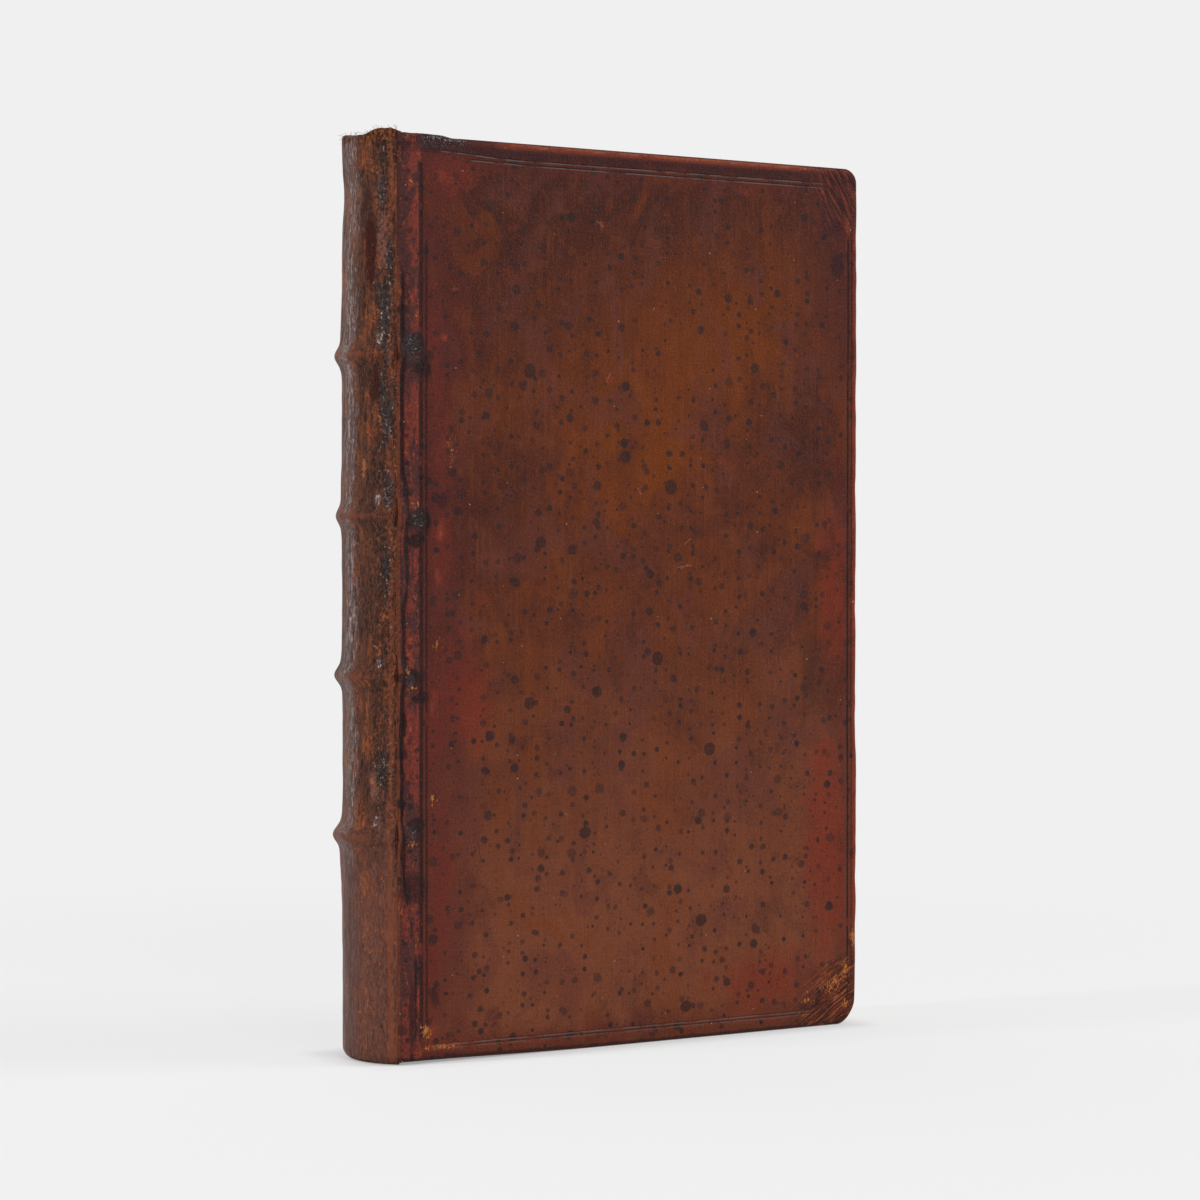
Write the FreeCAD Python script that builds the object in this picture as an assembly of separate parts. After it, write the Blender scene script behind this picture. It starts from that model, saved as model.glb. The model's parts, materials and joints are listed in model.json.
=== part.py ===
"""A small antique book bound in calf over pasteboard, sewn on four raised cords.

X runs from the spine to the fore edge, Y from the front cover to the rear cover,
and Z from the tail to the head. The book stands closed on its tail edges at Z = 0.
All sizes are in millimetres.
"""

import FreeCAD, Part
import os
from math import asin, cos, degrees, sqrt, tan

Vector = FreeCAD.Vector

# Pages
page_height = 194.0
page_width = 119.6
page_thickness = 16.0
fore_hollow = 2.8
shoulder_fillet = 1.0

# Covers
board_thickness = 2.2
leather_thickness = 0.8
turn_in_thickness = 0.5
turn_in_width = 13.0
pastedown_thickness = 0.2
pastedown_margin = 3.2
square = 3.0
head_corner_radius = 3.5
tail_corner_radius = 5.5
outer_edge_round = 1.2
inner_edge_round = 0.4

# Joint between spine and covers
joint_sink = 0.8
joint_slope_width = 2.2
joint_slit = 0.3
board_setback = 1.2
shoulder_setback = 0.6
shoulder_tip_setback = 0.25
shoulder_tip_bevel = 0.2
hinge_stand_off = 0.3

# Spine
spine_round = 4.4
head_cap_rise = 1.5
cap_lip = 3.0
cap_bevel = 0.5

# Raised bands: the cords under the spine leather
band_count = 4
first_band_height = 48.9
band_pitch = 34.7
band_profile = [
    (-6.5, 0),
    (-4.3, 0),
    (-2.4, 0.3),
    (-0.8, 1),
    (0, 1),
    (0.8, 1),
    (2.4, 0.3),
    (4.3, 0),
    (6.5, 0),
]
cord_diameter = 1.6
cord_end_setback = 0.2
cord_end_depth = 1.1

# Cord slips laced into the boards
slip_length = 9.0
slip_width = 3.4
slip_thickness = 0.9
slip_hole_radius = 1.1

# Clearances
page_clearance = 0.3
fit = 0.1
lacing_fit = 0.05
endband_end_angle = 4.0

# Places that follow from the sizes
cover_height = page_height + 2 * square
cover_thickness = (
    leather_thickness + board_thickness + turn_in_thickness + pastedown_thickness
)
book_thickness = page_thickness + 2 * (cover_thickness + page_clearance)
band_rise = cord_diameter + fit
overall_width = (
    page_width + square + shoulder_setback
    + joint_slit / 2 + spine_round + band_rise
)
fore_edge_x = overall_width / 2
joint_x = fore_edge_x - square - page_width - shoulder_setback
spine_end_x = joint_x - joint_slit / 2
board_start_x = joint_x + board_setback
shoulder_x = joint_x + shoulder_setback
page_side = page_thickness / 2
page_fore_x = fore_edge_x - square
page_tail_z = square
page_head_z = cover_height - square
head_cap_z = cover_height + head_cap_rise

outer_y = -book_thickness / 2
board_outer_y = outer_y + leather_thickness
board_inner_y = board_outer_y + board_thickness
turn_in_y = board_inner_y + turn_in_thickness
pastedown_y = turn_in_y + pastedown_thickness
hinge_y = outer_y + joint_sink - hinge_stand_off

spine_half = book_thickness / 2 - joint_sink
spine_radius = (spine_half**2 + spine_round**2) / (2 * spine_round)
spine_centre_x = spine_end_x - spine_round + spine_radius
lining_radius = spine_radius - leather_thickness
back_radius = lining_radius - fit
cord_radius = cord_diameter / 2
endband_radius = (square - leather_thickness) / 2 - fit
band_reach = band_profile[-1][0]
band_heights = [first_band_height + number * band_pitch for number in range(band_count)]


def half_chord(radius, at_x):
    """Half the width, along Y, of a circle round the spine's centre where it crosses at_x."""
    return sqrt(radius**2 - (spine_centre_x - at_x) ** 2)


def block(low, high):
    """A box between two corners."""
    size = [top - bottom for bottom, top in zip(low, high)]
    return Part.makeBox(*size, Vector(*low))


def arc(start, middle, end):
    """A circular edge through three points."""
    return Part.Arc(Vector(*start), Vector(*middle), Vector(*end)).toShape()


def line(start, end):
    """A straight edge between two points."""
    return Part.LineSegment(Vector(*start), Vector(*end)).toShape()


def polygon(points):
    """A closed wire of straight edges."""
    vectors = [Vector(*point) for point in points]
    return Part.makePolygon(vectors + vectors[:1])


def crescent(height, radius, inner_radius):
    """A level section between two arcs round the spine's centre, closed at the joints."""
    ends = []
    for size in (radius, inner_radius):
        half = half_chord(size, spine_end_x)
        ends.append(
            [
                (spine_end_x, -half, height),
                (spine_centre_x - size, 0, height),
                (spine_end_x, half, height),
            ]
        )
    outer, inner = ends
    edges = [arc(*outer), line(outer[2], inner[2]), arc(*inner), line(inner[0], outer[0])]
    return Part.Wire(edges)


def band_surface(band, inset, half):
    """A smooth face round the back that swells over one cord, inset from the leather's outside."""
    rows = []
    weights = []
    for reach, share in band_profile:
        height = band + reach
        crest = spine_round + share * band_rise - inset
        radius = (half**2 + crest**2) / (2 * crest)
        quarter = asin(half / radius) / 2
        corner = radius * tan(quarter)
        crest_x = spine_end_x - crest
        rows.append(
            [
                Vector(spine_end_x, -half, height),
                Vector(crest_x, -corner, height),
                Vector(crest_x, 0, height),
                Vector(crest_x, corner, height),
                Vector(spine_end_x, half, height),
            ]
        )
        weights.append([1, cos(quarter), 1, cos(quarter), 1])
    spans = len(rows) - 3
    ends_and_inner = [4] + [1] * (spans - 1) + [4]
    surface = Part.BSplineSurface()
    surface.buildFromPolesMultsKnots(
        rows,
        ends_and_inner,
        [3, 2, 3],
        list(range(spans + 1)),
        [0, 1, 2],
        False,
        False,
        3,
        2,
        weights,
    )
    return surface.toShape()


def ring_arc(radius, thickness_radius, centre_x, height, half_angle):
    """A round rod bent to an arc about a vertical axis, its middle towards the spine side."""
    disc = Part.makeCircle(
        thickness_radius,
        Vector(centre_x - radius, 0, height),
        Vector(0, 1, 0),
    )
    centre = Vector(centre_x, 0, height)
    face = Part.Face(Part.Wire(disc))
    face.rotate(centre, Vector(0, 0, 1), -half_angle)
    return face.revolve(centre, Vector(0, 0, 1), 2 * half_angle)


def cord_path():
    """Radius, centre and half angle of the arc that a sewing cord follows round the back."""
    crest_x = spine_end_x - spine_round - band_rise + leather_thickness + fit / 2 + cord_radius
    end_x = joint_x + cord_end_setback
    tip = half_chord(back_radius, joint_x + shoulder_tip_setback)
    half = tip - cord_end_depth
    rise = end_x - crest_x
    radius = (half**2 + rise**2) / (2 * rise)
    return radius, crest_x + radius, degrees(asin(half / radius))


def sewing_cord(height, thickness_radius):
    """One sewing cord, from shoulder to shoulder round the backs of the gatherings."""
    radius, centre_x, half_angle = cord_path()
    return ring_arc(radius, thickness_radius, centre_x, height, half_angle)


def page_block():
    """The sewn leaves: rounded back with shoulders, hollow fore edge, and a seat for each cord."""
    tip_x = joint_x + shoulder_tip_setback
    tip = half_chord(back_radius, tip_x)
    bevel = tip - shoulder_tip_bevel
    turn_y = page_side + shoulder_fillet
    turn_x = shoulder_x + shoulder_fillet
    middle = shoulder_fillet * (1 - sqrt(0.5))
    back = arc(
        (tip_x, tip, 0),
        (spine_centre_x - back_radius, 0, 0),
        (tip_x, -tip, 0),
    )
    fore = arc(
        (page_fore_x, -page_side, 0),
        (page_fore_x - fore_hollow, 0, 0),
        (page_fore_x, page_side, 0),
    )
    edges = [fore, back]
    for side in (1, -1):
        edges += [
            line((tip_x, side * tip, 0), (shoulder_x, side * bevel, 0)),
            line((shoulder_x, side * bevel, 0), (shoulder_x, side * turn_y, 0)),
            arc(
                (shoulder_x, side * turn_y, 0),
                (shoulder_x + middle, side * (page_side + middle), 0),
                (turn_x, side * page_side, 0),
            ),
            line((turn_x, side * page_side, 0), (page_fore_x, side * page_side, 0)),
        ]
    outline = Part.Wire(Part.__sortEdges__(edges))
    outline.translate(Vector(0, 0, page_tail_z))
    block_of_leaves = Part.Face(outline).extrude(Vector(0, 0, page_height))
    seats = [sewing_cord(height, cord_radius + lacing_fit) for height in band_heights]
    return block_of_leaves.cut(seats)


def endband(height):
    """A sewn endband: a round core that follows the back at the head or the tail."""
    tip = half_chord(back_radius, joint_x + shoulder_tip_setback)
    half_angle = degrees(asin(tip / back_radius)) - endband_end_angle
    radius = back_radius - endband_radius - fit
    return ring_arc(radius, endband_radius, spine_centre_x, height, half_angle)


def raised_band(band):
    """The spine leather from one foot of a raised band to the other."""
    outside = band_surface(band, 0, spine_half)
    inside = band_surface(band, leather_thickness, half_chord(lining_radius, spine_end_x))
    faces = [outside, inside]
    for outer_edge, inner_edge in zip(outside.Edges, inside.Edges):
        faces.append(Part.makeRuledSurface(outer_edge, inner_edge))
    shell = Part.makeShell(faces)
    shell.sewShape()
    swell = Part.Solid(shell)
    if swell.Volume < 0:
        swell.reverse()
    return swell


def panel(low, high):
    """The plain spine leather between two heights."""
    section = Part.Face(crescent(low, spine_radius, lining_radius))
    return section.extrude(Vector(0, 0, high - low))


def spine_cap(outer_z, inward):
    """The leather folded over one end of the spine, with a worn edge; inward is 1 or -1 in Z."""
    edge_z = outer_z + inward * cap_bevel
    lip_radius = spine_radius - cap_lip
    narrow = crescent(outer_z, spine_radius - cap_bevel, lip_radius)
    wide = crescent(edge_z, spine_radius, lip_radius)
    worn_edge = Part.makeLoft([narrow, wide], True, True)
    inner_face = Part.Face(crescent(edge_z, lining_radius + fit, lip_radius))
    return worn_edge.fuse(
        inner_face.extrude(Vector(0, 0, inward * (leather_thickness - cap_bevel)))
    )


def spine_leather():
    """The leather over the back: plain panels, raised bands, and a cap folded in at each end."""
    pieces = [spine_cap(0, 1), spine_cap(head_cap_z, -1)]
    panel_start = cap_bevel
    for band in band_heights:
        pieces += [raised_band(band), panel(panel_start, band - band_reach)]
        panel_start = band + band_reach
    last_panel = panel(panel_start, head_cap_z - cap_bevel)
    return last_panel.fuse(pieces)


def cover_plan(start_x, inset, at_y):
    """The outline of a cover in the XZ plane, taken in at head, tail and fore edge by inset."""
    end_x = fore_edge_x - inset
    low = inset
    high = cover_height - inset
    tail_r = tail_corner_radius - inset
    head_r = head_corner_radius - inset
    tail_m = tail_r * (1 - sqrt(0.5))
    head_m = head_r * (1 - sqrt(0.5))
    tail_start = (end_x - tail_r, at_y, low)
    tail_end = (end_x, at_y, low + tail_r)
    head_start = (end_x, at_y, high - head_r)
    head_end = (end_x - head_r, at_y, high)
    edges = [
        line((start_x, at_y, low), tail_start),
        arc(tail_start, (end_x - tail_m, at_y, low + tail_m), tail_end),
        line(tail_end, head_start),
        arc(head_start, (end_x - head_m, at_y, high - head_m), head_end),
        line(head_end, (start_x, at_y, high)),
        line((start_x, at_y, high), (start_x, at_y, low)),
    ]
    return Part.Face(Part.Wire(edges))


def rounded_edges(slab, at_y, start_x):
    """The edges of a slab's face at at_y, apart from the one on the spine side."""
    found = []
    for edge in slab.Edges:
        box = edge.BoundBox
        flat = abs(box.YMin - at_y) < 1e-6 and abs(box.YMax - at_y) < 1e-6
        spine_side = box.XMax < start_x + 1e-6
        if flat and not spine_side:
            found.append(edge)
    return found


def plain_board():
    """A board before it is laced: a flat pasteboard with worn, rounded fore corners."""
    face = cover_plan(board_start_x, leather_thickness, board_outer_y)
    return face.extrude(Vector(0, board_thickness, 0))


def slip(height, spare):
    """A frayed cord end: flat along the board's outer face, then down through the board."""
    half = slip_width / 2 + spare
    depth = slip_thickness + spare
    end_x = board_start_x + slip_length - slip_width / 2
    flat = block(
        (board_start_x, board_outer_y, height - half),
        (end_x, board_outer_y + depth, height + half),
    )
    along_y = Vector(0, 1, 0)
    end = Vector(end_x, board_outer_y, height)
    round_end = Part.makeCylinder(half, depth, end, along_y)
    plug = Part.makeCylinder(slip_hole_radius + spare, board_thickness, end, along_y)
    return flat.fuse([round_end, plug])


def board():
    """The front board with its lacing channels and holes."""
    return plain_board().cut([slip(height, lacing_fit) for height in band_heights])


def cover_leather():
    """The leather of the front cover: outer face, three rounded edges, turn-ins and joint slope."""
    plain_start_x = joint_x + joint_slope_width
    slab = cover_plan(plain_start_x, 0, outer_y).extrude(Vector(0, turn_in_y - outer_y, 0))
    slab = slab.makeFillet(outer_edge_round, rounded_edges(slab, outer_y, plain_start_x))
    slab = slab.makeFillet(inner_edge_round, rounded_edges(slab, turn_in_y, plain_start_x))
    groove_y = outer_y + joint_sink
    back_y = board_outer_y + leather_thickness * 0.75
    start_x = joint_x + joint_slit / 2
    end_x = board_start_x - fit
    slope = polygon(
        [
            (start_x, groove_y, 0),
            (plain_start_x, outer_y, 0),
            (plain_start_x, board_outer_y, 0),
            (end_x, board_outer_y, 0),
            (end_x, back_y, 0),
            (start_x, back_y, 0),
        ]
    )
    joint_strip = Part.Face(slope).extrude(Vector(0, 0, cover_height))
    turn_in_starts = [
        block(
            (board_start_x, board_inner_y, low),
            (plain_start_x, turn_in_y, low + turn_in_width),
        )
        for low in (0, cover_height - turn_in_width)
    ]
    edge_starts = [
        block(
            (board_start_x, board_outer_y, low),
            (plain_start_x, board_inner_y, low + leather_thickness),
        )
        for low in (0, cover_height - leather_thickness)
    ]
    window = block(
        (board_start_x, board_inner_y, turn_in_width),
        (fore_edge_x - turn_in_width, turn_in_y, cover_height - turn_in_width),
    )
    skin = slab.fuse([joint_strip, *turn_in_starts, *edge_starts])
    return skin.cut([plain_board(), window]).removeSplitter()


def pastedown():
    """The endpaper leaf glued inside the front cover: down on the board, up over the turn-ins."""
    high_z = cover_height - turn_in_width
    window_x = fore_edge_x - turn_in_width
    outer = block(
        (board_start_x, turn_in_y, pastedown_margin),
        (fore_edge_x - pastedown_margin, pastedown_y, cover_height - pastedown_margin),
    )
    inner = block(
        (board_start_x, board_inner_y, turn_in_width),
        (window_x, pastedown_y, high_z),
    )
    hollow = block(
        (
            board_start_x,
            board_inner_y + pastedown_thickness,
            turn_in_width + pastedown_thickness,
        ),
        (window_x - pastedown_thickness, pastedown_y, high_z - pastedown_thickness),
    )
    return outer.fuse(inner).cut(hollow).removeSplitter()


def other_side(shape):
    """The rear cover's piece that matches one of the front cover."""
    return shape.mirror(Vector(0, 0, 0), Vector(0, 1, 0))


def all_pieces():
    """Every piece of the book by name."""
    pieces = {
        "page_block": page_block(),
        "spine_leather": spine_leather(),
        "head_band": endband(page_head_z + endband_radius + fit / 2),
        "tail_band": endband(page_tail_z - endband_radius - fit / 2),
    }
    front = {"board": board(), "leather": cover_leather(), "pastedown": pastedown()}
    for number, height in enumerate(band_heights, start=1):
        pieces[f"sewing_cord_{number}"] = sewing_cord(height, cord_radius)
        front[f"cord_slip_{number}"] = slip(height, 0)
    for name, shape in front.items():
        pieces[f"front_{name}"] = shape
        pieces[f"rear_{name}"] = other_side(shape)
    return pieces


os.makedirs("parts", exist_ok=True)
for name, shape in all_pieces().items():
    solid = shape.Solids[0] if len(shape.Solids) == 1 else shape
    solid.exportStep(os.path.join("parts", f"{name}.step"))
    print(f"{name}: {len(shape.Solids)} solid, valid {shape.isValid()}, {shape.Volume:.1f} mm3")
print(f"book {overall_width:.2f} x {book_thickness:.2f} x {head_cap_z:.2f} mm")
print(f"front hinge at x {joint_x:.3f}, y {hinge_y:.3f}")
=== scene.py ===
"""Looks of a small antique book in mottled calf: leather, leaves, endpapers, endbands and studio.

Lengths are in millimetres in the classes below and become metres where a mesh is made.
X runs from the spine to the fore edge, Y from the front cover to the rear cover, Z up.
"""

import json
import logging
import math
from collections.abc import Sequence
from dataclasses import dataclass, field
from enum import Enum
from functools import reduce

import bmesh
import bpy
import numpy as np
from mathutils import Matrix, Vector


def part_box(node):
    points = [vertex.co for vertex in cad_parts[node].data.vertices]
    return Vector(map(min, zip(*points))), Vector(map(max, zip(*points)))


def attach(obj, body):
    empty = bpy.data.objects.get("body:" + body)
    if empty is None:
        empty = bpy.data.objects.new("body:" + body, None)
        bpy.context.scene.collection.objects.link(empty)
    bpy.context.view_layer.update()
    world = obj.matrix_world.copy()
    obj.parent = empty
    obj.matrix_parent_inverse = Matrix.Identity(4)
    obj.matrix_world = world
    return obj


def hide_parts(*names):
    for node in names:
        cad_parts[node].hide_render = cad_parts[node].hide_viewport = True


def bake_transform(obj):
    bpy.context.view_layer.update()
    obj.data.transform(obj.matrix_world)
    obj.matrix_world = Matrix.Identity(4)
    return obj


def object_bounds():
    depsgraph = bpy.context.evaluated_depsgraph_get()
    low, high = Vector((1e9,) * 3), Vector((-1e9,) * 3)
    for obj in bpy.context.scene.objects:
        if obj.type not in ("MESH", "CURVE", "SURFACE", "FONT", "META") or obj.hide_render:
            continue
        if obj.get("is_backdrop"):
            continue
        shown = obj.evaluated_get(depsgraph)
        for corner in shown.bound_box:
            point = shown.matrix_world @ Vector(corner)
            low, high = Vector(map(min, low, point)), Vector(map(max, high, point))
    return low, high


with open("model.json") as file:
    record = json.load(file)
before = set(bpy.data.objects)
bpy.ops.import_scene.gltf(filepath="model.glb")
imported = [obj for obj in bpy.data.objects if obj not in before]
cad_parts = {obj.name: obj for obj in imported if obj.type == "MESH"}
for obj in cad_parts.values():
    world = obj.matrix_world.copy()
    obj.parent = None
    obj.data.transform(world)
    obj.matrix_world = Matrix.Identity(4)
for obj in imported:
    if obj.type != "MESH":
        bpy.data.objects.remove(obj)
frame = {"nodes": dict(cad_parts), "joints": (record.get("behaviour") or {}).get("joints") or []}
cad_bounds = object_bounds()

LOG = logging.getLogger("book")
MM = 0.001
Array = np.ndarray
Colour = tuple[float, float, float]


class Side(Enum):
    """The two covers, with the sign of their side along Y."""

    FRONT = -1
    REAR = 1

    @property
    def label(self) -> str:
        """The word that this side's nodes start with."""
        return self.name.lower()


def tone(red: float, green: float, blue: float) -> Colour:
    """Turns a colour written as seen on a screen into the light that it stands for.

    Args:
        red: Red, from 0 to 255.
        green: Green, from 0 to 255.
        blue: Blue, from 0 to 255.

    Returns:
        The three linear values, from 0 to 1.
    """
    shares = [value / 255 for value in (red, green, blue)]
    return tuple(s / 12.92 if s <= 0.04045 else ((s + 0.055) / 1.055) ** 2.4 for s in shares)


# Shader maths

class Signal:
    """A number that varies over a surface. Arithmetic on it adds Math nodes."""

    def __init__(self, shader: "Shader", socket: bpy.types.NodeSocket) -> None:
        """Keeps the material it belongs to and the socket it comes from."""
        self.shader = shader
        self.socket = socket

    def __add__(self, other: "Signal | float") -> "Signal":
        """The sum of two values."""
        return self.shader.math("ADD", self, other)

    def __sub__(self, other: "Signal | float") -> "Signal":
        """This value less another."""
        return self.shader.math("SUBTRACT", self, other)

    def __rsub__(self, other: "Signal | float") -> "Signal":
        """Another value less this one."""
        return self.shader.math("SUBTRACT", other, self)

    def __mul__(self, other: "Signal | float") -> "Signal":
        """The product of two values."""
        return self.shader.math("MULTIPLY", self, other)

    def __truediv__(self, other: "Signal | float") -> "Signal":
        """This value divided by another."""
        return self.shader.math("DIVIDE", self, other)

    def __pow__(self, other: "Signal | float") -> "Signal":
        """This value raised to a power."""
        return self.shader.math("POWER", self, other)

    __radd__ = __add__
    __rmul__ = __mul__

    def swing(self, reach: float) -> "Signal":
        """A noise turned into a swing round zero, over that reach in all."""
        return (self - 0.5) * reach


class Nodes:
    """A node tree with a short way to add any node."""

    def __init__(self, tree: bpy.types.NodeTree) -> None:
        """Takes a tree and empties it."""
        self.tree = tree
        tree.nodes.clear()

    def node(self, kind: str, settings: dict | None = None,
             sockets: dict | None = None) -> bpy.types.Node:
        """Adds any node.

        Args:
            kind: The node's type.
            settings: Its own properties by name, set first.
            sockets: Values or links for its inputs, by name or index.

        Returns:
            The new node.
        """
        made = self.tree.nodes.new(kind)
        for name, value in (settings or {}).items():
            setattr(made, name, value)
        for name, value in (sockets or {}).items():
            self.feed(made.inputs[name], value)
        return made

    def feed(self, socket: bpy.types.NodeSocket, value: object) -> None:
        """Links a signal or socket to an input, or sets the input's own value."""
        if isinstance(value, Signal):
            value = value.socket
        if isinstance(value, bpy.types.NodeSocket):
            self.tree.links.new(value, socket)
        elif socket.type == "RGBA" and len(value) == 3:
            socket.default_value = (*value, 1)
        else:
            socket.default_value = value


class Shader(Nodes):
    """A material's node tree, with short ways to add the nodes that a finish needs."""

    def __init__(self, name: str) -> None:
        """Starts an empty material of that name with its surface coordinates in millimetres."""
        self.material = bpy.data.materials.new(name)
        self.material.use_nodes = True
        super().__init__(self.material.node_tree)
        place = self.node("ShaderNodeTexCoord").outputs["Object"]
        self.point = self.vector("MULTIPLY", place, (1 / MM,) * 3)
        parts = self.node("ShaderNodeSeparateXYZ", {}, {"Vector": self.point})
        self.x, self.y, self.z = (Signal(self, parts.outputs[axis]) for axis in "XYZ")

    def math(self, operation: str, *values: "Signal | float") -> Signal:
        """Adds one Math node and returns its result."""
        made = self.node("ShaderNodeMath", {"operation": operation}, dict(enumerate(values)))
        return Signal(self, made.outputs[0])

    def vector(self, operation: str, *values: object) -> bpy.types.NodeSocket:
        """Adds one Vector Math node and returns its vector."""
        made = self.node("ShaderNodeVectorMath", {"operation": operation}, dict(enumerate(values)))
        return made.outputs["Vector"]

    def stretched(self, sizes: Sequence[float], turn: float = 0.0,
                  shift: float = 0.0) -> bpy.types.NodeSocket:
        """The surface coordinates divided by three sizes, turned about Y and moved."""
        sockets = {"Vector": self.point, "Location": (shift,) * 3, "Rotation": (0, turn, 0)}
        sockets["Scale"] = tuple(sizes)
        return self.node("ShaderNodeMapping", {"vector_type": "TEXTURE"}, sockets).outputs["Vector"]

    def noise(self, sizes: Sequence[float], detail: float = 3.0, rough: float = 0.55,
              bend: float = 0.0, turn: float = 0.0, shift: float = 0.0) -> Signal:
        """Smooth noise from about 0 to 1 whose blotches have the given sizes.

        Args:
            sizes: The blotches' size along X, Y and Z.
            detail: How many finer layers are added.
            rough: How strong the finer layers are.
            bend: How far the noise distorts itself.
            turn: How far it is turned about Y, in radians.
            shift: How far it is moved, to make it another pattern.

        Returns:
            The noise.
        """
        sockets = {"Vector": self.stretched(sizes, turn, shift), "Scale": 1.0, "Detail": detail}
        sockets |= {"Roughness": rough, "Distortion": bend}
        return Signal(self, self.node("ShaderNodeTexNoise", {}, sockets).outputs["Fac"])

    def cells(self, sizes: Sequence[float], shift: float = 0.0,
              warp: "Signal | None" = None) -> Signal:
        """The distance to the nearest point of a cell pattern, in cell sizes.

        Args:
            sizes: The cells' size along X, Y and Z.
            shift: How far the pattern is moved.
            warp: A signal that bends the pattern, in cell sizes.

        Returns:
            The distance.
        """
        place = self.stretched(sizes, 0.0, shift)
        if warp is not None:
            offset = self.node("ShaderNodeCombineXYZ", {}, {"X": warp, "Y": warp, "Z": warp})
            place = self.vector("ADD", place, offset.outputs["Vector"])
        made = self.node("ShaderNodeTexVoronoi", {}, {"Vector": place, "Scale": 1.0})
        return Signal(self, made.outputs["Distance"])

    def plane_cells(self, size: float, feature: str = "F1", shift: float = 0.0,
                    warp: "Signal | float" = 0.0) -> bpy.types.Node:
        """A cell pattern over X and Z alone, for a flat cover.

        Args:
            size: The cells' size.
            feature: F1 for points or DISTANCE_TO_EDGE for walls.
            shift: How far the pattern is moved.
            warp: How far the pattern is bent, in cell sizes.

        Returns:
            The pattern's node.
        """
        across, along = (place * (1 / size) + shift + warp for place in (self.x, self.z))
        place = self.node("ShaderNodeCombineXYZ", {}, {"X": across, "Y": along})
        return self.node(
            "ShaderNodeTexVoronoi", {"voronoi_dimensions": "2D", "feature": feature},
            {"Vector": place.outputs[0], "Scale": 1.0},
        )

    def rise(self, value: Signal, low: float, high: float) -> Signal:
        """A smooth step: 0 below low and 1 above high, or the reverse if high is under low."""
        made = self.node(
            "ShaderNodeMapRange",
            {"interpolation_type": "SMOOTHSTEP"},
            {"Value": value, "From Min": low, "From Max": high},
        )
        return Signal(self, made.outputs["Result"])

    def attribute(self, name: str) -> Signal:
        """A number kept on the mesh's points."""
        made = self.node("ShaderNodeAttribute", {"attribute_name": name})
        return Signal(self, made.outputs["Fac"])

    def blend(self, share: "Signal | float", first: object, second: object) -> bpy.types.NodeSocket:
        """Mixes two colours: the first at 0 and the second at 1."""
        made = self.node(
            "ShaderNodeMix", {"data_type": "RGBA"}, {0: share, 6: first, 7: second}
        )
        return made.outputs[2]

    def most(self, *masks: Signal) -> Signal:
        """The largest of some masks."""
        return reduce(lambda first, second: self.math("MAXIMUM", first, second), masks)

    def painted(self, colour: object, layers: Sequence[tuple]) -> bpy.types.NodeSocket:
        """Lays colours over a base colour, each where a value passes from a low to a high end.

        Args:
            colour: The base colour.
            layers: For each colour the value, its two ends, the layer's strength and the colour
                as seen on a screen.

        Returns:
            The base colour under its layers.
        """
        for value, low, high, strength, shade in layers:
            colour = self.blend(self.rise(value, low, high) * strength, colour, tone(*shade))
        return colour

    def scratch(self, start: tuple[float, float], end: tuple[float, float],
                width: float) -> Signal:
        """A thin straight mark between two places on the cover.

        Args:
            start: Its first end, as X and Z.
            end: Its second end.
            width: Its half width.

        Returns:
            A mask that is 1 along the mark.
        """
        length = math.dist(start, end)
        along_x, along_z = ((b - a) / length for a, b in zip(start, end))
        from_x, from_z = self.x - start[0], self.z - start[1]
        along = from_x * along_x + from_z * along_z
        beside = self.math("ABSOLUTE", from_x * along_z - from_z * along_x)
        past = self.math("ABSOLUTE", along - length / 2) - length / 2
        return self.rise(beside, width, width * 0.4) * self.rise(past, 0.3, -0.3)

    def surface(self, colour: object, rough: "Signal | float", height: "Signal | None" = None,
                relief: float = 0.1, shine: "Signal | None" = None, shine_rough: float = 0.25,
                specular: float = 0.2) -> bpy.types.Material:
        """Ends the tree in a matt shader, mixed with a polished one where there is shine.

        Args:
            colour: The base colour.
            rough: The roughness.
            height: The relief's height, from 0 to 1, or nothing for a smooth surface.
            relief: What a height of 1 measures.
            shine: How polished each place is, or nothing for no polish.
            shine_rough: The polished places' roughness.
            specular: The matt shader's specular level.

        Returns:
            The finished material.
        """
        sockets = {"Base Color": colour, "Roughness": rough, "Specular IOR Level": specular}
        if height is not None:
            bump = self.node(
                "ShaderNodeBump", {}, {"Height": height, "Strength": 1.0, "Distance": relief * MM}
            )
            sockets["Normal"] = bump.outputs["Normal"]
        shader = self.node("ShaderNodeBsdfPrincipled", {}, sockets)
        if shine is not None:
            sockets.update({"Roughness": shine_rough, "Specular IOR Level": 0.9})
            polished = self.node("ShaderNodeBsdfPrincipled", {}, sockets)
            shader = self.node(
                "ShaderNodeMixShader", {}, {0: shine, 1: shader.outputs[0], 2: polished.outputs[0]}
            )
        self.node("ShaderNodeOutputMaterial", {}, {"Surface": shader.outputs[0]})
        return self.material


# Relief that is modelled in the meshes

def lattice(x: Array, y: Array, seed: int) -> Array:
    """One random number from 0 to 1 for each whole-numbered place, the same at every run."""
    mixed = (x.astype(np.int64) * 374761393 + y.astype(np.int64) * 668265263 + seed * 974711)
    mixed = (mixed ^ (mixed >> 13)) * 1274126177
    mixed = mixed ^ (mixed >> 16)
    return (mixed & 0xFFFFFF) / 0xFFFFFF


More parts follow.
